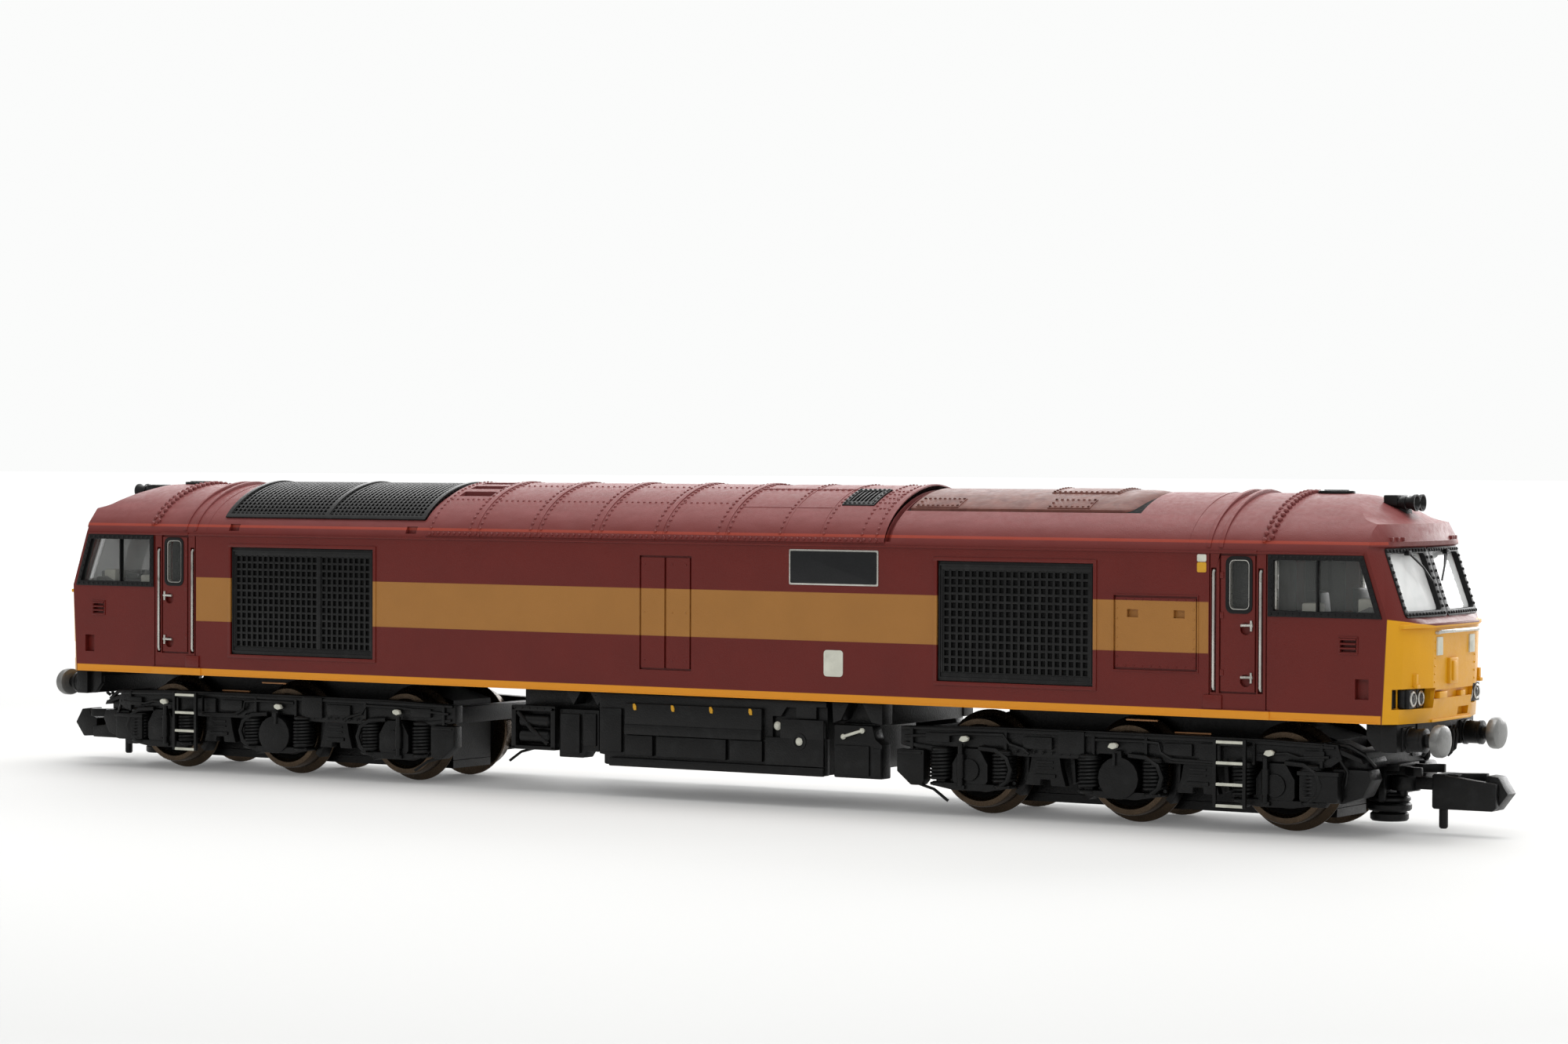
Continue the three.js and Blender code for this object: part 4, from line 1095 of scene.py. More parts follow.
def make_side_grille(index, side, label):
    x0, x1 = GRILLES[index]
    build = Build("black", "deep")
    build.side = side

    def slab(a, b, low, high, deep, top, bevel=0.03):
        build.slab(a, b, HALF_WIDTH - deep, HALF_WIDTH - top, low, high, bevel)

    z0, z1 = 11.35, 21.35
    low, high = 12.05, 20.65
    left, right = x0 + 0.5, x1 - 0.5
    build.use("deep")
    slab(x0 + 0.06, x1 - 0.06, z0, z1, 0.49, 0.4, 0)
    build.use("black")
    for a, b, c, d in ((x0 + 0.05, x1 - 0.05, z0, low), (x0 + 0.05, x1 - 0.05, high, z1),
            (x0 + 0.05, left, low, high), (right, x1 - 0.05, low, high)):
        slab(a, b, c, d, 0.45, 0.1)
    for a, b, c, d in ((x0 + 0.25, x1 - 0.25, z0 + 0.2, z0 + 0.36),
            (x0 + 0.25, x1 - 0.25, z1 - 0.36, z1 - 0.2), (x0 + 0.15, x0 + 0.29, z0 + 0.2, z1 - 0.2),
            (x1 - 0.29, x1 - 0.15, z0 + 0.2, z1 - 0.2)):
        slab(a, b, c, d, 0.3, 0.02)
    spans = [(left, right)] if index == 0 else [(left, GRILLE_BAR[0]), (GRILLE_BAR[1], right)]
    for a, b in spans:
        for x in spread(a, b, 0.66):
            slab(x - 0.12, x + 0.12, low, high, 0.4, 0.16, 0.05)
    for z in spread(low, high, 0.66):
        slab(left, right, z - 0.11, z + 0.11, 0.38, 0.18, 0.05)
    if index == 1:
        slab(*GRILLE_BAR, low, high, 0.45, 0.08)
    build.stand_in(f"side_grille_{index + 1}_{label}", "black_plastic")


def make_roof_grille():
    build = Build("black", "deep")
    x0, x1, half = ROOF_GRILLE
    x0, x1, half = x0 + 0.05, x1 - 0.05, half - 0.05
    build.use("deep")
    roof_patch(build, x0, x1, half, -half, -0.35, 0.6, steps=48, bevel=0)
    build.use("black")
    for a, b in ((x0, x0 + 0.5), (x1 - 0.5, x1), ROOF_GRILLE_BAR):
        roof_patch(build, a, b, half, -half, 0.42, 0.4, steps=48)
    for y in (half - 0.15, -half + 0.15):
        roof_patch(build, x0, x1, y + 0.15, y - 0.15, 0.42, 0.4, steps=4)
    for a, b in ((x0 + 0.5, ROOF_GRILLE_BAR[0]), (ROOF_GRILLE_BAR[1], x1 - 0.5)):
        for x in spread(a, b, 0.5):
            roof_patch(build, x - 0.1, x + 0.1, half, -half, 0.3, 0.3, steps=40, bevel=0)
    ys = arc_ys(half, -half, 0.5)
    for y0, y1 in zip(ys, ys[1:]):
        middle = (y0 + y1) / 2
        roof_patch(build, x0, x1, middle + (y0 - y1) * 0.2, middle - (y0 - y1) * 0.2, 0.24, 0.2, steps=1,
            bevel=0)
    build.stand_in("roof_grille", "black_plastic", sharp=25)


def make_silencer():
    build = Build("weathered", "deep")
    x0, x1, half = SILENCER
    build.use("deep")
    roof_patch(build, x0 + 0.02, x1 - 0.02, half, -half, -0.45, 0.2, steps=32, bevel=0)
    build.use("weathered")
    part = bmesh.new()
    a0, a1 = roof_angle(half - 0.5), roof_angle(0.5 - half)
    rows = []
    columns = [x0 + 0.25 + (x1 - x0 - 0.5) * i / 40 for i in range(41)]
    for x in columns:
        tail = max(0.0, (x - (x1 - 2.4)) / 2.4)
        narrow = 1 - 0.5 * (1 - math.sqrt(max(0.0, 1 - tail ** 2)))
        row = []
        for i in range(33):
            angle = a0 + (a1 - a0) * i / 32
            y, z = roof_at(angle, 0.16 - 0.3 * tail ** 3)
            row.append((x, y * narrow, z))
        y, z = row[-1][1], row[-1][2]
        row = [(x, row[0][1], row[0][2] - 0.8)] + row + [(x, y, z - 0.8)]
        rows.append([part.verts.new(p) for p in row])
    for a, b in zip(rows, rows[1:]):
        for i in range(len(a) - 1):
            part.faces.new((a[i], b[i], b[i + 1], a[i + 1]))
        part.faces.new((a[-1], b[-1], b[0], a[0]))
    part.faces.new(rows[0])
    part.faces.new(rows[-1][::-1])
    bmesh.ops.recalc_face_normals(part, faces=part.faces)
    build.take(part, 0.2)
    for a, b, low, high in ((23.9, 28.1, -5.9, -4.3), (36.5, 40.5, -5.9, -4.3), (35.2, 41.6, -2.6, 2.6),
            (23.9, 28.1, 4.3, 5.9), (36.5, 40.5, 4.3, 5.9)):
        roof_patch(build, a, b, high, low, 0.26, 0.2, steps=8, bevel=0.08)
        for x in spread(a + 0.2, b - 0.2, 0.5):
            build.domes(roof_rivets((x,), (low + 0.2, high - 0.2), 0.26), 0.14)
        for y in spread(low + 0.2, high - 0.2, 0.5):
            build.domes(roof_rivets((a + 0.2, b - 0.2), (y,), 0.26), 0.14)
    build.stand_in("exhaust_silencer", "weathered_roof")


def make_roof_vent():
    build = Build("black", "deep")
    x0, x1, y0, y1 = VENT
    build.use("deep")
    roof_patch(build, x0 + 0.06, x1 - 0.06, y1 - 0.06, y0 + 0.06, 0.02, 0.2, steps=8, bevel=0)
    build.use("black")
    for a, b, high, low in ((x0 + 0.05, x1 - 0.05, y1 - 0.05, y1 - 0.5),
            (x0 + 0.05, x1 - 0.05, y0 + 0.5, y0 + 0.05), (x0 + 0.05, x0 + 0.45, y1 - 0.05, y0 + 0.05),
            (x1 - 0.45, x1 - 0.05, y1 - 0.05, y0 + 0.05)):
        roof_patch(build, a, b, high, low, RAISED + 0.16, 0.0, steps=6)
    for x in spread(x0 + 0.65, x1 - 0.65, 0.4):
        roof_patch(build, x - 0.08, x + 0.08, y1 - 0.5, y0 + 0.5, RAISED + 0.1, -0.05, steps=6, bevel=0)
    spots = roof_rivets(spread(x0 + 0.25, x1 - 0.25, 0.5), (y1 - 0.28, y0 + 0.28), RAISED + 0.16)
    spots += roof_rivets((x0 + 0.25, x1 - 0.25), spread(y0 + 0.6, y1 - 0.6, 0.5), RAISED + 0.16)
    build.domes(spots, 0.14)
    build.stand_in("roof_vent", "black_plastic")


def make_plates():
    """Blank plates on both sides."""
    build = Build("silver", "plate", "white", "tab_yellow")
    for side in build.sides():
        for key, x0, x1, z0, z1, out in (("silver", 13.2, 22.06, 19.1, 22.13, 0.06),
                ("plate", 13.34, 21.92, 19.24, 21.99, 0.09), ("white", 16.7, 18.6, 11.35, 13.6, 0.06),
                ("white", 51.78, 52.6, 21.7, 22.3, 0.04), ("tab_yellow", 51.78, 52.6, 20.85, 21.66, 0.04)):
            build.use(key)
            radius = 0.3 if 16 < x0 < x1 < 19 else 0.12
            outline = rounded(x0, x1, z0, z1, radius)
            build.prism(outline, *sorted((side * (HALF_WIDTH - 0.05), side * (HALF_WIDTH + out))), "y",
                0.02)
    build.piece("blank_plates", "black_plastic")


# ---------- buffers, beams and couplers ----------

def make_buffer(number, place, label, side):
    build = Build("frame", "buffer")
    at = (0, side * place * BUFFER_Y, BUFFER_Z)
    build.lathe([(0, 68.72), (1.02, 68.72), (1.02, 68.95), (0.92, 69.0), (0.92, 70.0), (0.98, 70.05),
        (0.98, 70.3), (0.74, 70.36), (0.56, 70.4), (0.56, 71.05), (0, 71.05)], at)
    build.use("buffer")
    build.lathe([(0, 71.0), (0.7, 71.0), (1.3, 71.06), (1.44, 71.14), (1.5, 71.28), (1.5, 71.66),
        (1.42, 71.82), (1.2, 71.92), (0.7, 71.98), (0, 72.0)], at, scale=(1, 1.06, 0.86))
    build.stand_in(f"buffer_{number}_{label}", "buffer_metal", end_matrix(place))


def make_buffer_beam(number, place):
    build = Build("frame", "deep")
    build.box(67.3, 68.68, -7.95, 7.95, 6.95, 9.2, 0.14)
    build.box(68.5, 68.8, -4.1, 4.1, 7.1, 9.15, 0.08)
    build.box(65.9, 67.5, -7.4, 7.4, 8.6, 9.2, 0.06)
    for side in build.sides():
        build.slab(68.5, 68.86, 4.75, 7.05, 6.98, 8.9, 0.1)
        build.domes([((68.86, side * y, z), (1, 0, 0)) for y in (4.98, 6.82) for z in (7.2, 8.66)], 0.13)
        build.prism([(65.9, 9.2), (67.4, 9.2), (67.4, 7.0), (66.7, 7.0), (65.9, 8.0)],
            *sorted((side * 7.0, side * 7.5)), "y", 0.06)
        for y, drop in ((2.6, 1.9), (3.4, 1.6)):
            build.wire([(68.7, y, 8.3), (69.0, y, 8.2), (69.1, y, 7.8), (69.0, y - 0.3, 8.3 - drop),
                (68.8, y - 0.5, 8.1 - drop)], 0.16, 8)
            build.rod(0.24, 68.6, 68.95, at=(0, side * y, 8.32))
    build.box(68.6, 69.3, -0.4, 0.4, 7.5, 8.3, 0.1)
    build.use("deep")
    build.box(68.79, 68.83, -0.9, 0.9, 7.3, 8.6, 0)
    build.stand_in(f"buffer_beam_{number}", "underframe_black", end_matrix(place))


def bogie_matrix(place):
    return end_matrix(place) @ Matrix.Translation((BOGIE_CENTRE, 0, 0))


def make_coupler(number, place):
    build = Build("frame")
    tip = COUPLER_TIP - BOGIE_CENTRE
    build.box(COUPLER_PIVOT + 0.9, 25.3, -0.55, 0.55, 3.55, 4.55, 0.12)
    build.lathe([(0.62, 3.4), (1.15, 3.4), (1.2, 3.5), (1.2, 4.5), (1.15, 4.6), (0.62, 4.6)],
        (COUPLER_PIVOT + 0.3, 0, 0), "z")
    build.prism([(24.8, 2.3), (24.95, 2.15), (29.9, 2.15), (30.2, 2.4), (30.2, 4.35), (24.95, 4.95),
        (24.8, 4.8)], -1.66, -0.95, "y", 0.1)
    build.prism([(24.8, 2.3), (24.95, 2.15), (28.4, 2.15), (28.4, 3.2), (26.8, 3.4), (26.8, 4.9),
        (24.95, 4.95)], -0.98, 1.2, "y", 0.1)
    build.prism([(24.95, -1.6), (25.0, -0.1), (28.0, 1.55), (28.4, 1.55), (28.4, 1.0), (25.9, -0.6),
        (25.9, -1.6)], 4.2, 4.95, "z", 0.08)
    build.prism([(28.2, 2.25), (29.9, 2.15), (tip, 3.5), (30.1, 4.85), (29.2, 4.95), (29.0, 4.3),
        (28.2, 4.0)], -0.98, 0.9, "y", 0.1)
    build.prism([(27.4, 2.2), (30.0, 2.2), (30.0, 2.9), (27.4, 3.1)], -0.98, 0.7, "y", 0.08)
    build.rod(0.36, 0.55, 2.5, "z", 16, (25.45, -0.75, 0), 0.12)
    build.stand_in(f"coupler_{number}", "underframe_black", bogie_matrix(place), f"coupler_{number}")


# ---------- wheelsets ----------

def gear_outline(teeth, radius_out, radius_in, x, z):
    points = []
    for k in range(teeth):
        for share, radius in ((-0.32, radius_in), (-0.14, radius_out), (0.14, radius_out),
                (0.32, radius_in)):
            angle = 2 * math.pi * (k + share) / teeth
            points.append((x + radius * math.cos(angle), z + radius * math.sin(angle)))
    return points


def make_wheelset(number, place, label, offset):
    build = Build("tyre", "wheel", "steel", "nylon")
    for _ in build.sides():
        build.use("tyre")
        build.turned([(3.0, 3.78), (4.3, 3.76), (4.4, 3.84), (4.4, 3.98), (4.28, 4.1), (3.95, 4.2),
            (3.82, 4.35), (3.76, 5.75), (3.68, 5.88), (3.25, 5.9), (3.15, 5.82), (3.1, 5.62), (2.98, 5.55)],
            offset, AXLE_Z, 64)
        build.use("wheel")
        build.turned([(0.7, 3.8), (3.05, 3.8), (3.05, 5.58), (2.7, 5.3), (2.55, 5.1), (1.5, 5.2),
            (1.3, 5.5), (1.2, 5.8), (0.7, 5.86)], offset, AXLE_Z, 48)
        build.use("steel")
        build.turned([(0.72, 0), (0.72, 5.95), (0.5, 6.05), (0.4, 6.6), (0.05, 6.74), (0, 6.75)], offset,
            AXLE_Z, 24)
    build.use("nylon")
    build.prism(gear_outline(10, 2.05, 1.4, offset, AXLE_Z), -0.8, 0.8, "y", 0.04)
    name = f"wheelset_{number}_{label}"
    build.stand_in(name, "wheel_metal", bogie_matrix(place), name, "turned")


# ---------- bogie frames ----------

BEAM = ((-20.8, 7.3), (-20.8, 5.7), (-18.6, 5.35), (-17.0, 5.35), (-16.2, 5.75), (-11.8, 5.75),
    (-11.2, 5.25), (-8.8, 5.2), (-5.2, 5.2), (-2.6, 5.25), (-2.0, 5.75), (2.0, 5.75), (2.6, 5.25),
    (8.8, 5.2), (11.2, 5.25), (11.8, 5.75), (16.2, 5.75), (16.9, 5.4), (18.6, 5.5), (19.6, 6.2),
    (19.2, 7.35), (13.0, 7.55), (0.0, 7.6), (-13.0, 7.55))


def axlebox(build, x, round_body, side):
    """An axlebox between two coil springs, with its saddle, arm and damper."""
    for dx in (-2.95, 2.95):
        build.spring(x + dx, side * SPRING_Y, 2.75, 5.5, 0.92, 0.16, 8)
        build.rod(0.98, 2.45, 2.78, "z", 20, (x + dx, side * SPRING_Y, 0))
        build.rod(0.98, 5.3, 5.7, "z", 20, (x + dx, side * SPRING_Y, 0))
        build.rod(0.55, 2.6, 5.4, "z", 12, (x + dx, side * SPRING_Y, 0))
    build.plate([(x - 3.8, 2.5), (x - 1.6, 2.15), (x + 1.6, 2.15), (x + 3.8, 2.5), (x + 3.8, 2.75),
        (x - 3.8, 2.75)], 6.3, 7.75, 0.08)
    if round_body:
        body = [(x + 1.85 * math.cos(a), 3.85 + 1.75 * math.sin(a)) for a
            in (math.radians(d) for d in range(-160, 200, 20))]
        build.plate(body, 6.3, 7.9, 0.12)
        build.plate([(x - 0.55, 5.2), (x + 0.35, 5.2), (x + 0.25, 6.1), (x - 0.45, 6.1)], 6.8, 7.85, 0.08)
        build.wire([(x - 0.3, 7.95, 5.9), (x - 0.3, 7.98, 4.9)], 0.16)
    else:
        body = [(x - 1.7, 3.0), (x - 1.2, 2.3), (x + 1.2, 2.3), (x + 1.7, 3.0), (x + 1.7, 4.4),
            (x + 0.9, 5.7), (x - 0.9, 5.7), (x - 1.7, 4.4)]
        build.plate(body, 6.3, 7.7, 0.12)
        build.plate([(x + 0.95 * math.cos(a), 3.9 + 0.95 * math.sin(a)) for a
            in (math.radians(d) for d in range(0, 360, 24))], 7.5, 7.9, 0.1)
        build.wire([(x - 0.75, 7.95, 6.1), (x - 0.75, 7.95, 2.5)], 0.24, 12)
        build.wire([(x - 0.75, 7.92, 5.2), (x - 0.75, 7.92, 3.2)], 0.34, 12)
        build.slab(x - 1.15, x - 0.35, 7.4, 8.04, 2.25, 2.6, 0.08)
    build.wire([(x + 0.9, 7.65, 5.75), (x + 2.6, 7.85, 5.65), (x + 3.65, 7.9, 5.0), (x + 4.0, 7.9, 4.1),
        (x + 3.7, 7.9, 3.2), (x + 3.0, 7.8, 2.7)], 0.22, 8)
    build.use("white")
    build.plate([(x - 0.95, 6.35), (x - 0.5, 6.2), (x - 0.1, 6.35), (x - 0.02, 6.6), (x - 0.3, 6.75),
        (x - 0.75, 6.7)], 7.6, 8.0, 0.1)
    build.use("frame")


def beam_details(build, side):
    build.plate(list(BEAM), 6.3, 7.4, 0.1)
    build.plate([(-20.6, 7.1), (-20.6, 7.3), (-13, 7.4), (13, 7.4), (19.0, 7.2), (19.0, 7.0), (13, 7.15),
        (-13, 7.15)], 7.3, 7.62, 0.05)
    build.plate([(-20.4, 5.8), (-18.4, 5.5), (-17.0, 5.5), (-17, 5.7), (-20.4, 6.05)], 7.3, 7.6, 0.05)
    for a, b, low, high in ((-5.6, -3.2, 5.6, 7.5), (-8.9, -6.2, 5.9, 6.9), (4.0, 6.6, 5.9, 6.9),
            (7.2, 8.6, 5.5, 7.0), (-18.2, -15.9, 6.1, 6.9), (16.4, 18.2, 6.0, 6.8)):
        build.slab(a, b, 7.2, 7.72, low, high, 0.1)
    for x in (-19.6, -10.6, -2.4, 2.4, 9.0, 12.0, 17.9):
        build.slab(x - 0.14, x + 0.14, 7.2, 7.66, 5.45, 7.3, 0.05)
    build.wire([(-20.2, 7.6, 6.5), (-14.5, 7.65, 6.9), (-10.8, 7.65, 6.95), (-10.2, 7.65, 6.2),
        (-8.8, 7.75, 5.85), (-8.3, 7.75, 5.45)], 0.13)
    build.wire([(-2.2, 7.6, 6.9), (2.0, 7.6, 6.95), (3.6, 7.7, 6.85), (3.8, 7.7, 6.1), (4.8, 7.75, 5.6),
        (8.8, 7.7, 5.5)], 0.13)
    build.wire([(12.4, 7.6, 6.3), (15.0, 7.65, 6.5), (16.0, 7.7, 6.2), (18.6, 7.65, 6.35)], 0.13)
    build.domes([((x, side * 7.62, 5.6), (0, side, 0)) for x in spread(-9.6, -4.6, 0.9)]
        + [((x, side * 7.62, 5.6), (0, side, 0)) for x in spread(4.6, 9.6, 0.9)], 0.14)


def between_axles(build, x):
    """The bracket, its slot and the brake shoes between two wheels."""
    build.plate([(x - 1.3, 5.3), (x + 1.3, 5.3), (x + 1.5, 4.2), (x + 1.9, 2.9), (x + 0.5, 2.9),
        (x + 0.45, 3.4), (x - 0.45, 3.4), (x - 0.5, 2.9), (x - 1.9, 2.9), (x - 1.5, 4.2)], 6.6, 7.35, 0.08)
    build.slab(x - 0.75, x + 0.75, 7.25, 7.45, 4.75, 4.95, 0.04)
    build.slab(x - 0.75, x + 0.75, 7.25, 7.45, 4.3, 4.45, 0.04)
    build.slab(x - 1.0, x + 1.0, 7.2, 7.5, 3.55, 3.85, 0.06)
    for turn in (-1, 1):
        centre = x + turn * IDLER_X
        shoe = [(centre - turn * 4.0 * math.cos(a), AXLE_Z + 4.0 * math.sin(a)) for a
            in (math.radians(d) for d in range(-35, 30, 8))]
        shoe += [(centre - turn * 4.6 * math.cos(a), AXLE_Z + 4.6 * math.sin(a)) for a
            in (math.radians(d) for d in range(29, -43, -8))]
        build.plate(shoe if turn > 0 else shoe[::-1], 4.4, 5.8, 0.06)
        build.plate([(x + turn * 1.9, 5.4), (x + turn * 2.3, 5.4), (x + turn * 2.45, 3.2),
            (x + turn * 2.05, 3.0)], 5.4, 6.6, 0.05)


def make_bogie_frame(number, place):
    build = Build("frame", "white", "copper")
    for side in build.sides():
        beam_details(build, side)
        for x, round_body in zip(AXLES, (False, True, False)):
            axlebox(build, x, round_body, side)
        for x in (-IDLER_X, IDLER_X):
            between_axles(build, x)
        build.plate([(-20.95, 5.4), (-20.95, 3.5), (-19.6, 2.4), (-18.6, 2.4), (-18.3, 2.8), (-18.3, 5.4)],
            6.6, 7.85, 0.15)
        build.slab(-20.75, -18.5, 7.7, 7.95, 5.05, 5.25, 0.05)
        build.wire([(-19.2, 7.2, 2.5), (-17.6, 7.3, 2.1), (-16.2, 7.4, 1.2)], 0.14, 6)
        build.slab(16.1, 19.5, 6.5, 8.0, 2.7, 5.1, 0.3)
        build.slab(16.0, 19.6, 6.5, 8.1, 4.85, 5.2, 0.08)
        build.plate([(16.6, 3.1), (18.8, 3.1), (18.2, 2.3), (17.0, 2.3)], 6.9, 7.7, 0.1)
        build.plate([(18.6, 5.4), (21.6, 5.4), (21.9, 4.6), (21.2, 3.2), (19.4, 2.6), (18.6, 2.8)], 4.6,
            7.0, 0.15)
        build.plate([(18.0, 7.5), (21.2, 6.3), (21.4, 5.9), (18.0, 7.0)], 2.6, 7.3, 0.08)
        build.wire([(18.4, 6.6, 7.3), (20.0, 6.9, 7.2), (21.2, 6.6, 6.5), (21.4, 5.2, 5.6)], 0.2)
        build.wire([(19.2, 7.3, 6.4), (19.9, 7.0, 5.2), (19.6, 6.8, 3.6), (20.4, 6.6, 3.0)], 0.16)
        for dx in (-IDLER_X, IDLER_X):
            build.slab(dx - 1.5, dx + 1.5, 2.95, 6.4, 6.1, 7.1, 0.08)
    build.box(18.9, 21.2, -6.4, 6.4, 5.4, 6.8, 0.15)
    build.box(-20.5, -18.9, -6.4, 6.4, 5.6, 7.1, 0.15)
    coupler_pocket(build)
    build.use("copper")
    for side in build.sides():
        for x0, x1, z in ((-0.12, 2.78, 8.5), (4.3, 7.6, 7.6)):
            build.slab(x0, x1, 6.0, 6.25, z, z + 0.15, 0.04)
    build.stand_in(f"bogie_frame_{number}", "underframe_black", bogie_matrix(place), f"bogie_{number}")


def coupler_pocket(build):
    """The forked pocket that holds the coupler, with its stacked lower discs."""
    build.box(20.4, 22.2, -2.1, 2.1, 5.05, 5.6, 0.1)
    for low, high, radius in ((0.9, 1.6, 1.55), (1.72, 2.35, 1.8), (2.42, 2.9, 1.7), (2.86, 3.2, 1.3)):
        build.rod(radius, low, high, "z", 32, (20.5, 0, 0), 0.14)
    build.rod(0.9, 1.2, 3.0, "z", 24, (20.5, 0, 0))
    build.rod(0.45, 2.8, 5.6, "z", 20, (COUPLER_PIVOT, 0, 0))
    for side in build.sides():
        build.prism([(20.6, side * 1.75), (22.6, side * 1.75), (23.6, side * 2.6), (24.3, side * 2.6),
            (24.3, side * 2.2), (23.8, side * 2.1), (22.8, side * 1.25), (20.6, side * 1.25)][::side], 4.75,
            5.45, "z", 0.08)
        build.slab(20.5, 21.0, 1.75, 2.15, 2.6, 5.2, 0.08)
    build.box(20.4, 20.8, -2.1, 2.1, 2.5, 5.2, 0.08)


def make_ladder(number, place, label, side):
    build = Build("frame", "white")
    build.side = side * place
    for x in (9.0, 11.63):
        build.slab(x - 0.15, x + 0.15, 8.3, 8.6, 2.0, 7.5, 0.06)
    build.slab(8.9, 11.7, 7.5, 8.35, 6.95, 7.25, 0.05)
    build.use("white")
    for z in (2.12, 3.85, 5.57, 7.25):
        build.slab(9.1, 11.53, 8.32, 8.58, z - 0.12, z + 0.12, 0.05)
    build.stand_in(f"ladder_{number}_{label}", "underframe_black", bogie_matrix(place), f"bogie_{number}")


# ---------- tank and boxes between the bogies ----------

def make_tank():
    build = Build("frame", "white", "tab_yellow")
    build.box(-16.4, 21.8, -6.3, 6.3, 7.2, 9.18, 0.1)
    build.box(-6.9, 16.3, -7.6, 7.6, 2.75, 9.1, 0.2)
    for side in build.sides():
        build.use("frame")
        build.plate([(-7.1, 7.9), (-7.1, 3.7), (-6.3, 3.6), (-5.9, 2.75), (16.4, 2.75), (16.4, 5.9),
            (11.0, 5.9), (11.0, 7.7), (11.85, 7.7), (12.4, 8.5), (13.36, 8.5), (13.36, 7.55), (15.4, 7.55),
            (15.4, 8.6), (16.4, 8.6), (16.4, 9.1), (-7.1, 9.1)], 7.4, 8.0, 0.08)
        build.plate([(-6.95, 7.8), (-6.95, 3.9), (-4.6, 3.9), (-4.6, 7.8)], 7.9, 8.25, 0.12)
        build.plate([(-4.15, 8.3), (-4.15, 6.4), (10.12, 6.4), (10.12, 8.3)], 7.9, 8.42, 0.08)
        build.plate([(-4.15, 6.45), (-4.15, 5.55), (10.12, 5.55), (10.12, 6.45)], 7.9, 8.5, 0.1)
        for a, b in ((-4.15, -1.25), (-0.85, 6.4), (6.8, 10.12)):
            build.slab(a, b, 7.9, 8.35, 3.7, 5.5, 0.1)
        build.slab(-5.9, 16.3, 7.9, 8.35, 2.7, 3.45, 0.12)
        build.slab(10.4, 16.3, 7.9, 8.3, 3.5, 5.9, 0.08)
        build.slab(11.95, 16.3, 7.9, 8.3, 5.85, 7.5, 0.06)
        build.turned([(0.72, 8.2), (0.72, 8.36), (0.5, 8.36), (0.5, 8.2)], 13.86, 5.62, 28)
        build.plate([(17.1, 2.7), (21.9, 2.7), (21.9, 5.6), (21.2, 6.1), (20.9, 7.2), (17.1, 7.2)], 6.4,
            7.9, 0.15)
        build.slab(17.3, 20.7, 7.7, 8.1, 2.9, 5.5, 0.15)
        build.slab(20.95, 21.85, 7.7, 8.05, 2.9, 5.3, 0.12)
        build.plate([(16.9, 9.1), (18.6, 9.1), (17.8, 7.6), (17.0, 7.3)], 6.2, 7.9, 0.08)
        build.plate([(19.9, 9.1), (21.9, 9.1), (21.9, 7.3), (20.8, 7.5)], 6.2, 7.9, 0.08)
        left_equipment(build, side)
        build.use("tab_yellow")
        for x in (-3.06, 0.95, 4.95, 9.0):
            build.plate([(x - 0.16, 8.28), (x + 0.05, 8.28), (x + 0.18, 8.05), (x + 0.18, 7.72),
                (x - 0.06, 7.72), (x - 0.16, 7.95)], 8.38, 8.5, 0.03)
        build.use("white")
        for x, z, y in ((11.77, 8.4, 7.7), (11.39, 6.86, 7.7), (13.86, 5.62, 8.15)):
            build.turned([(0, y), (0.34, y), (0.38, y + 0.12), (0.22, y + 0.26), (0, y + 0.28)], x, z, 16)
        build.wire([(18.13, 8.1, 6.21), (18.4, 8.15, 6.3), (19.7, 8.15, 6.7), (19.99, 8.1, 6.78)], 0.13)
        for x, z in ((18.13, 6.21), (19.99, 6.78)):
            build.turned([(0, 7.8), (0.2, 7.85), (0.24, 8.1), (0.12, 8.25), (0, 8.27)], x, z, 12)
    build.stand_in("underframe_tank", "underframe_black")


def left_equipment(build, side):
    """The boxes, air cylinders and strut at the end-2 side of the tank."""
    build.plate([(-11.6, 7.5), (-11.6, 3.2), (-9.0, 3.2), (-8.6, 3.8), (-7.3, 3.8), (-7.3, 7.5)], 6.2, 7.8,
        0.12)
    build.slab(-11.3, -9.2, 7.6, 8.1, 3.6, 7.1, 0.12)
    build.slab(-8.9, -7.5, 7.6, 8.0, 4.3, 7.2, 0.12)
    build.slab(-16.6, -11.8, 6.0, 7.3, 3.8, 7.6, 0.12)
    for a, b, low, high in ((-16.6, -11.8, 7.2, 7.7), (-16.6, -11.8, 3.75, 4.1), (-16.6, -16.1, 3.8, 7.6),
            (-12.3, -11.8, 3.8, 7.6)):
        build.slab(a, b, 7.2, 8.2, low, high, 0.1)
    for z in (4.9, 6.3):
        build.rod(0.62, -15.9, -12.5, "x", 24, (0, side * 7.55, z), 0.2)
    build.wire([(-15.9, 8.1, 7.1), (-14.4, 8.15, 5.6), (-12.6, 8.1, 4.3)], 0.2)
    build.rod(0.65, -10.5, -8.7, "x", 24, (0, side * 7.2, 4.6), 0.25)
    for x in (-10.8, -8.2, -6.9):
        build.plate([(x, 9.1), (x + 1.6, 9.1), (x + 0.8, 7.9)], 6.2, 7.9, 0.06)
    for x in spread(-16.2, -12.2, 0.8):
        build.domes([((x, side * 8.2, 7.45), (0, side, 0))], 0.12)


# ---------- cab insides ----------

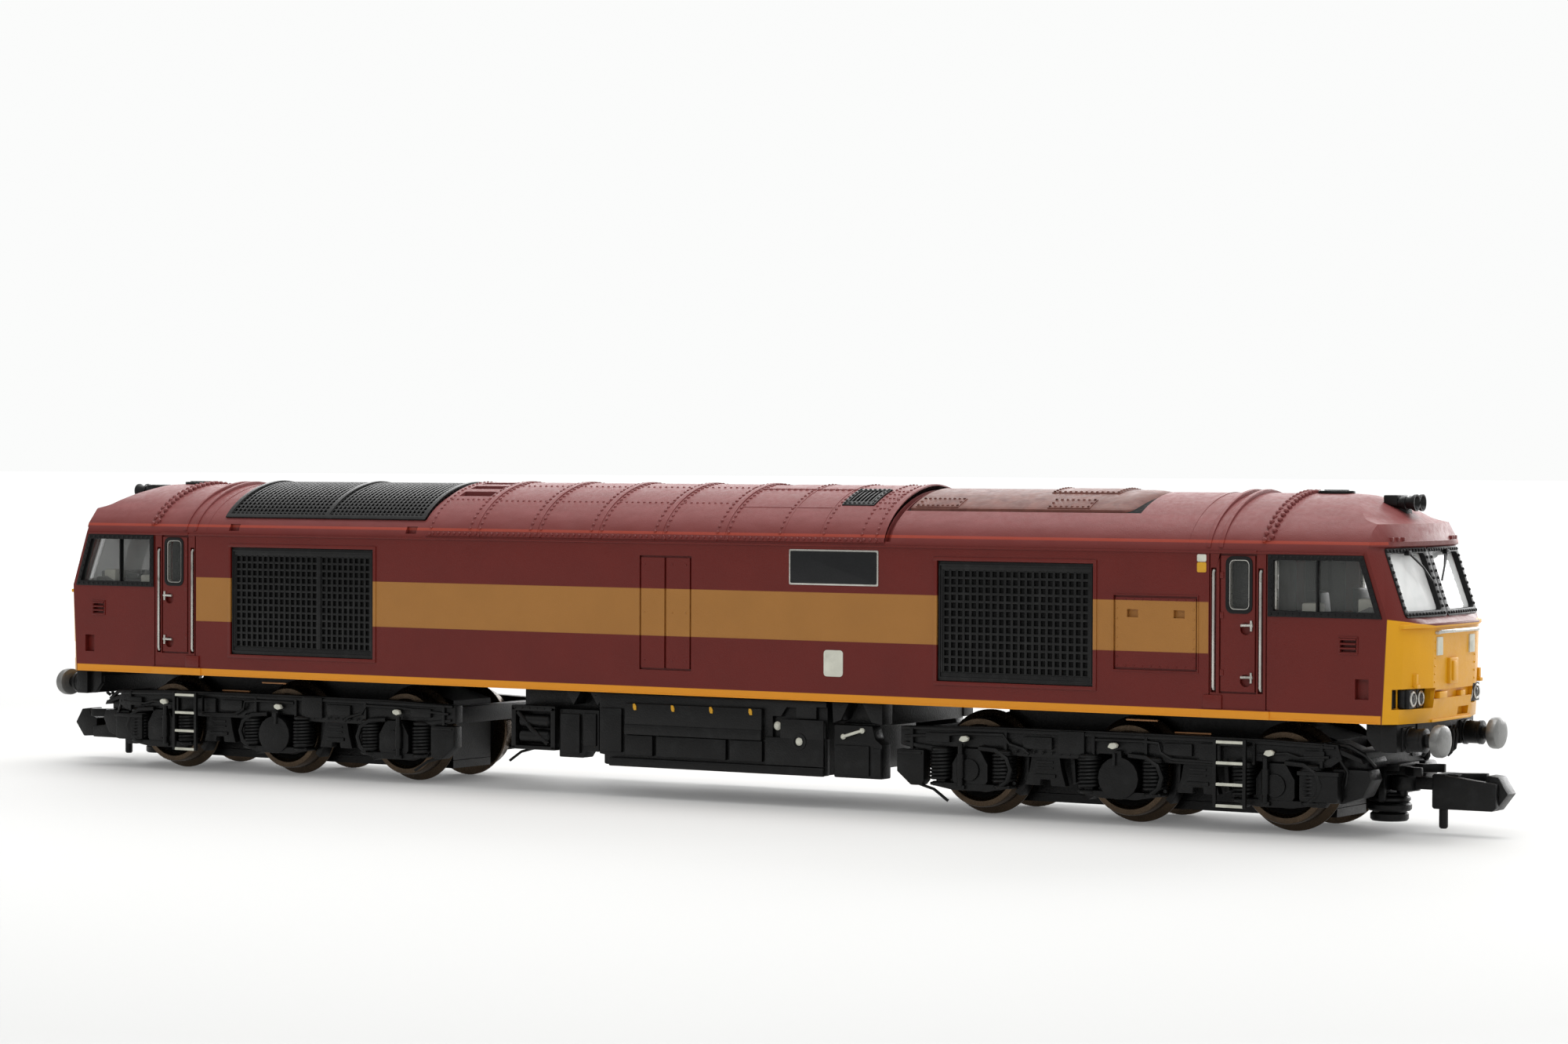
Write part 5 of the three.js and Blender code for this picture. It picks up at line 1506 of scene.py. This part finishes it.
def make_cab_interior(number, place):
    """A bulkhead, desk, two seats and side panels, seen through the windows."""
    build = Build("cab", "black", "white")
    build.box(52.7, 53.2, -7.1, 7.1, 13.3, 22.1, 0.08)
    build.box(52.7, 67.0, -7.1, 7.1, 13.3, 13.7, 0.05)
    build.prism([(64.6, 13.6), (67.1, 13.6), (67.1, 18.2), (65.8, 18.3), (64.4, 17.7)], -6.9, 6.9, "y",
        0.12)
    build.box(65.0, 66.9, 1.2, 6.4, 18.1, 18.8, 0.15)
    build.use("black")
    for y in (-7.6, 7.6):
        build.box(53.8, 57.4, y - 0.06, y + 0.06, 17.2, 22.3, 0.02)
    for y in (-4.1, 4.1):
        build.box(60.6, 63.4, y - 1.3, y + 1.3, 15.4, 16.2, 0.3)
        build.prism([(60.2, 16.0), (61.1, 16.0), (60.7, 19.3), (60.0, 19.5)], y - 1.2, y + 1.2, "y", 0.3)
        build.box(61.4, 62.6, y - 0.6, y + 0.6, 13.6, 15.5, 0.1)
        build.tube([(65.1, y - 1.4, 18.0), (64.8, y - 1.4, 18.8)], 0.15)
        build.box(64.9, 66.4, y - 0.9, y + 0.9, 17.85, 18.5, 0.12)
    build.use("white")
    for _ in build.sides():
        build.slab(60.0, 61.5, 5.6, 6.9, 17.0, 18.5, 0.2)
        build.slab(64.8, 66.2, 5.4, 6.8, 17.4, 18.95, 0.2)
    build.stand_in(f"cab_interior_{number}", "cab_grey", end_matrix(place))


# ---------- parts carried over from the frame ----------

def carry(node, key):
    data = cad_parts[node].data
    data.materials.clear()
    data.materials.append(MATERIALS[key])
    data.polygons.foreach_set("material_index", [0] * len(data.polygons))


def carry_all():
    carried = {"chassis_block": "diecast", "circuit_board": "board", "motor_can": "steel",
        "motor_armature": "steel", "flywheel_1": "brass", "flywheel_2": "brass"}
    for number, _ in ENDS:
        carried.update({f"cab_glazing_{number}": "glass", f"drive_shaft_{number}": "nylon",
            f"worm_{number}": "brass", f"worm_gear_{number}": "nylon",
            f"idler_gear_{number}_inner": "nylon", f"idler_gear_{number}_outer": "nylon",
            f"gear_tower_{number}": "frame", f"keeper_plate_{number}": "frame"})
    for node, key in carried.items():
        carry(node, key)


# ---------- the whole locomotive ----------

def make_locomotive():
    make_body()
    make_plates()
    make_roof_grille()
    make_silencer()
    make_roof_vent()
    make_tank()
    for index in range(2):
        for label, side in SIDES:
            make_side_grille(index, side, label)
    for number, place in ENDS:
        make_cab_fittings(number, place)
        make_cab_interior(number, place)
        make_horn(number, place)
        make_roof_pod(number, place)
        make_buffer_beam(number, place)
        make_coupler(number, place)
        make_bogie_frame(number, place)
        for label, side in SIDES:
            make_buffer(number, place, label, side)
            make_ladder(number, place, label, side)
        for label, offset in zip(("inner", "middle", "outer"), AXLES):
            make_wheelset(number, place, label, offset)
    carry_all()


# ---------- camera, floor and light ----------

YAW, PITCH, ROLL = 0.557312715, 0.0157174515, 0.00369388661
CAMERA_PLACE = (189.581, -292.825, 29.693)
LENS = 89.69
BACKDROP = (0.965, 0.97, 0.965)
FLOOR_REACH = 6.0


def make_camera():
    right = Vector((math.cos(YAW), math.sin(YAW), 0))
    ahead = Vector((-math.sin(YAW) * math.cos(PITCH), math.cos(YAW) * math.cos(PITCH), -math.sin(PITCH)))
    up = right.cross(ahead)
    turned_right = right * math.cos(ROLL) + up * math.sin(ROLL)
    turned_up = up * math.cos(ROLL) - right * math.sin(ROLL)
    data = bpy.data.cameras.new("camera")
    data.sensor_fit = "HORIZONTAL"
    data.sensor_width = 36
    data.lens = LENS
    data.clip_start = 0.01
    camera = bpy.data.objects.new("camera", data)
    turn = Matrix((turned_right, turned_up, -ahead)).transposed().to_4x4()
    camera.matrix_world = Matrix.Translation(Vector(CAMERA_PLACE) * MM) @ turn
    bpy.context.scene.collection.objects.link(camera)
    bpy.context.scene.camera = camera


def area_light(name, place, target, size, power):
    data = bpy.data.lights.new(name, "AREA")
    data.shape = "RECTANGLE"
    data.size, data.size_y = size
    data.energy = power
    light = bpy.data.objects.new(name, data)
    light.location = place
    light.visible_camera = False
    light.rotation_euler = (Vector(target) - Vector(place)).to_track_quat("-Z", "Y").to_euler()
    bpy.context.scene.collection.objects.link(light)


def floor_paint():
    """Pale, and brighter far away, so that it meets the backdrop without a line."""
    paint = Paint("floor")
    x, y, _ = paint.axes()
    reach = paint.math("SQRT", paint.math("ADD", paint.math("MULTIPLY", x, x),
        paint.math("MULTIPLY", y, y)))
    far = paint.above(reach, 600.0, 300.0)
    glow = paint.above(reach, 350.0, 200.0)
    open_floor = paint.above(reach, 150.0, 100.0)
    pale = paint.mix(open_floor, (0.58, 0.58, 0.572), (0.36, 0.36, 0.357))
    paint.set(Base_Color=paint.mix(far, pale, (0.0, 0.0, 0.0)), Roughness=0.7)
    paint.link(paint.mix(glow, (0.12, 0.12, 0.12), BACKDROP), paint.shader.inputs["Emission Color"])
    paint.shader.inputs["Emission Strength"].default_value = 1.0
    paint.shader.inputs["Specular IOR Level"].default_value = 0.2
    return paint.material


def make_world():
    """White to the eye, and as light brighter overhead and behind than in front."""
    world = bpy.data.worlds.new("world")
    world.use_nodes = True
    tree = world.node_tree
    shade = tree.nodes["Background"]
    shade.inputs[0].default_value = rgba(BACKDROP)
    seen = tree.nodes.new("ShaderNodeLightPath")
    direction = tree.nodes.new("ShaderNodeSeparateXYZ")
    tree.links.new(tree.nodes.new("ShaderNodeTexCoord").outputs["Generated"], direction.inputs[0])
    lift = tree.nodes.new("ShaderNodeMath")
    lift.operation = "MULTIPLY_ADD"
    tree.links.new(direction.outputs["Y"], lift.inputs[0])
    lift.inputs[1].default_value = 0.35
    tree.links.new(direction.outputs["Z"], lift.inputs[2])
    light = tree.nodes.new("ShaderNodeMapRange")
    tree.links.new(lift.outputs[0], light.inputs["Value"])
    for key, value in (("From Min", -0.3), ("From Max", 0.9), ("To Min", 0.22), ("To Max", 0.95)):
        light.inputs[key].default_value = value
    strength = tree.nodes.new("ShaderNodeMix")
    tree.links.new(seen.outputs["Is Camera Ray"], strength.inputs["Factor"])
    tree.links.new(light.outputs[0], strength.inputs[2])
    strength.inputs[3].default_value = 1.0
    tree.links.new(strength.outputs[0], shade.inputs[1])
    bpy.context.scene.world = world
    bpy.context.scene.view_settings.view_transform = "Standard"


def make_stage():
    data = bpy.data.meshes.new("floor")
    corners = [(x * FLOOR_REACH, y * FLOOR_REACH, 0) for x, y in ((-1, -1), (1, -1), (1, 1), (-1, 1))]
    data.from_pydata(corners, [], [(0, 1, 2, 3)])
    floor = bpy.data.objects.new("floor", data)
    bpy.context.scene.collection.objects.link(floor)
    data.materials.append(floor_paint())
    make_world()
    area_light("top", (0.05, 0.12, 0.7), (0, 0, 0), (0.9, 0.5), 4.2)
    area_light("back", (-0.4, 0.7, 0.35), (0, 0, 0.015), (0.8, 0.4), 2.5)
    area_light("front", (0.1, -0.75, 0.4), (0.0, 0, 0.012), (0.7, 0.3), 0.8)
    area_light("rear", (0.17, 0.75, 0.26), (0.067, 0, 0.024), (0.35, 0.4), 2.7)


make_camera()
make_stage()
make_locomotive()
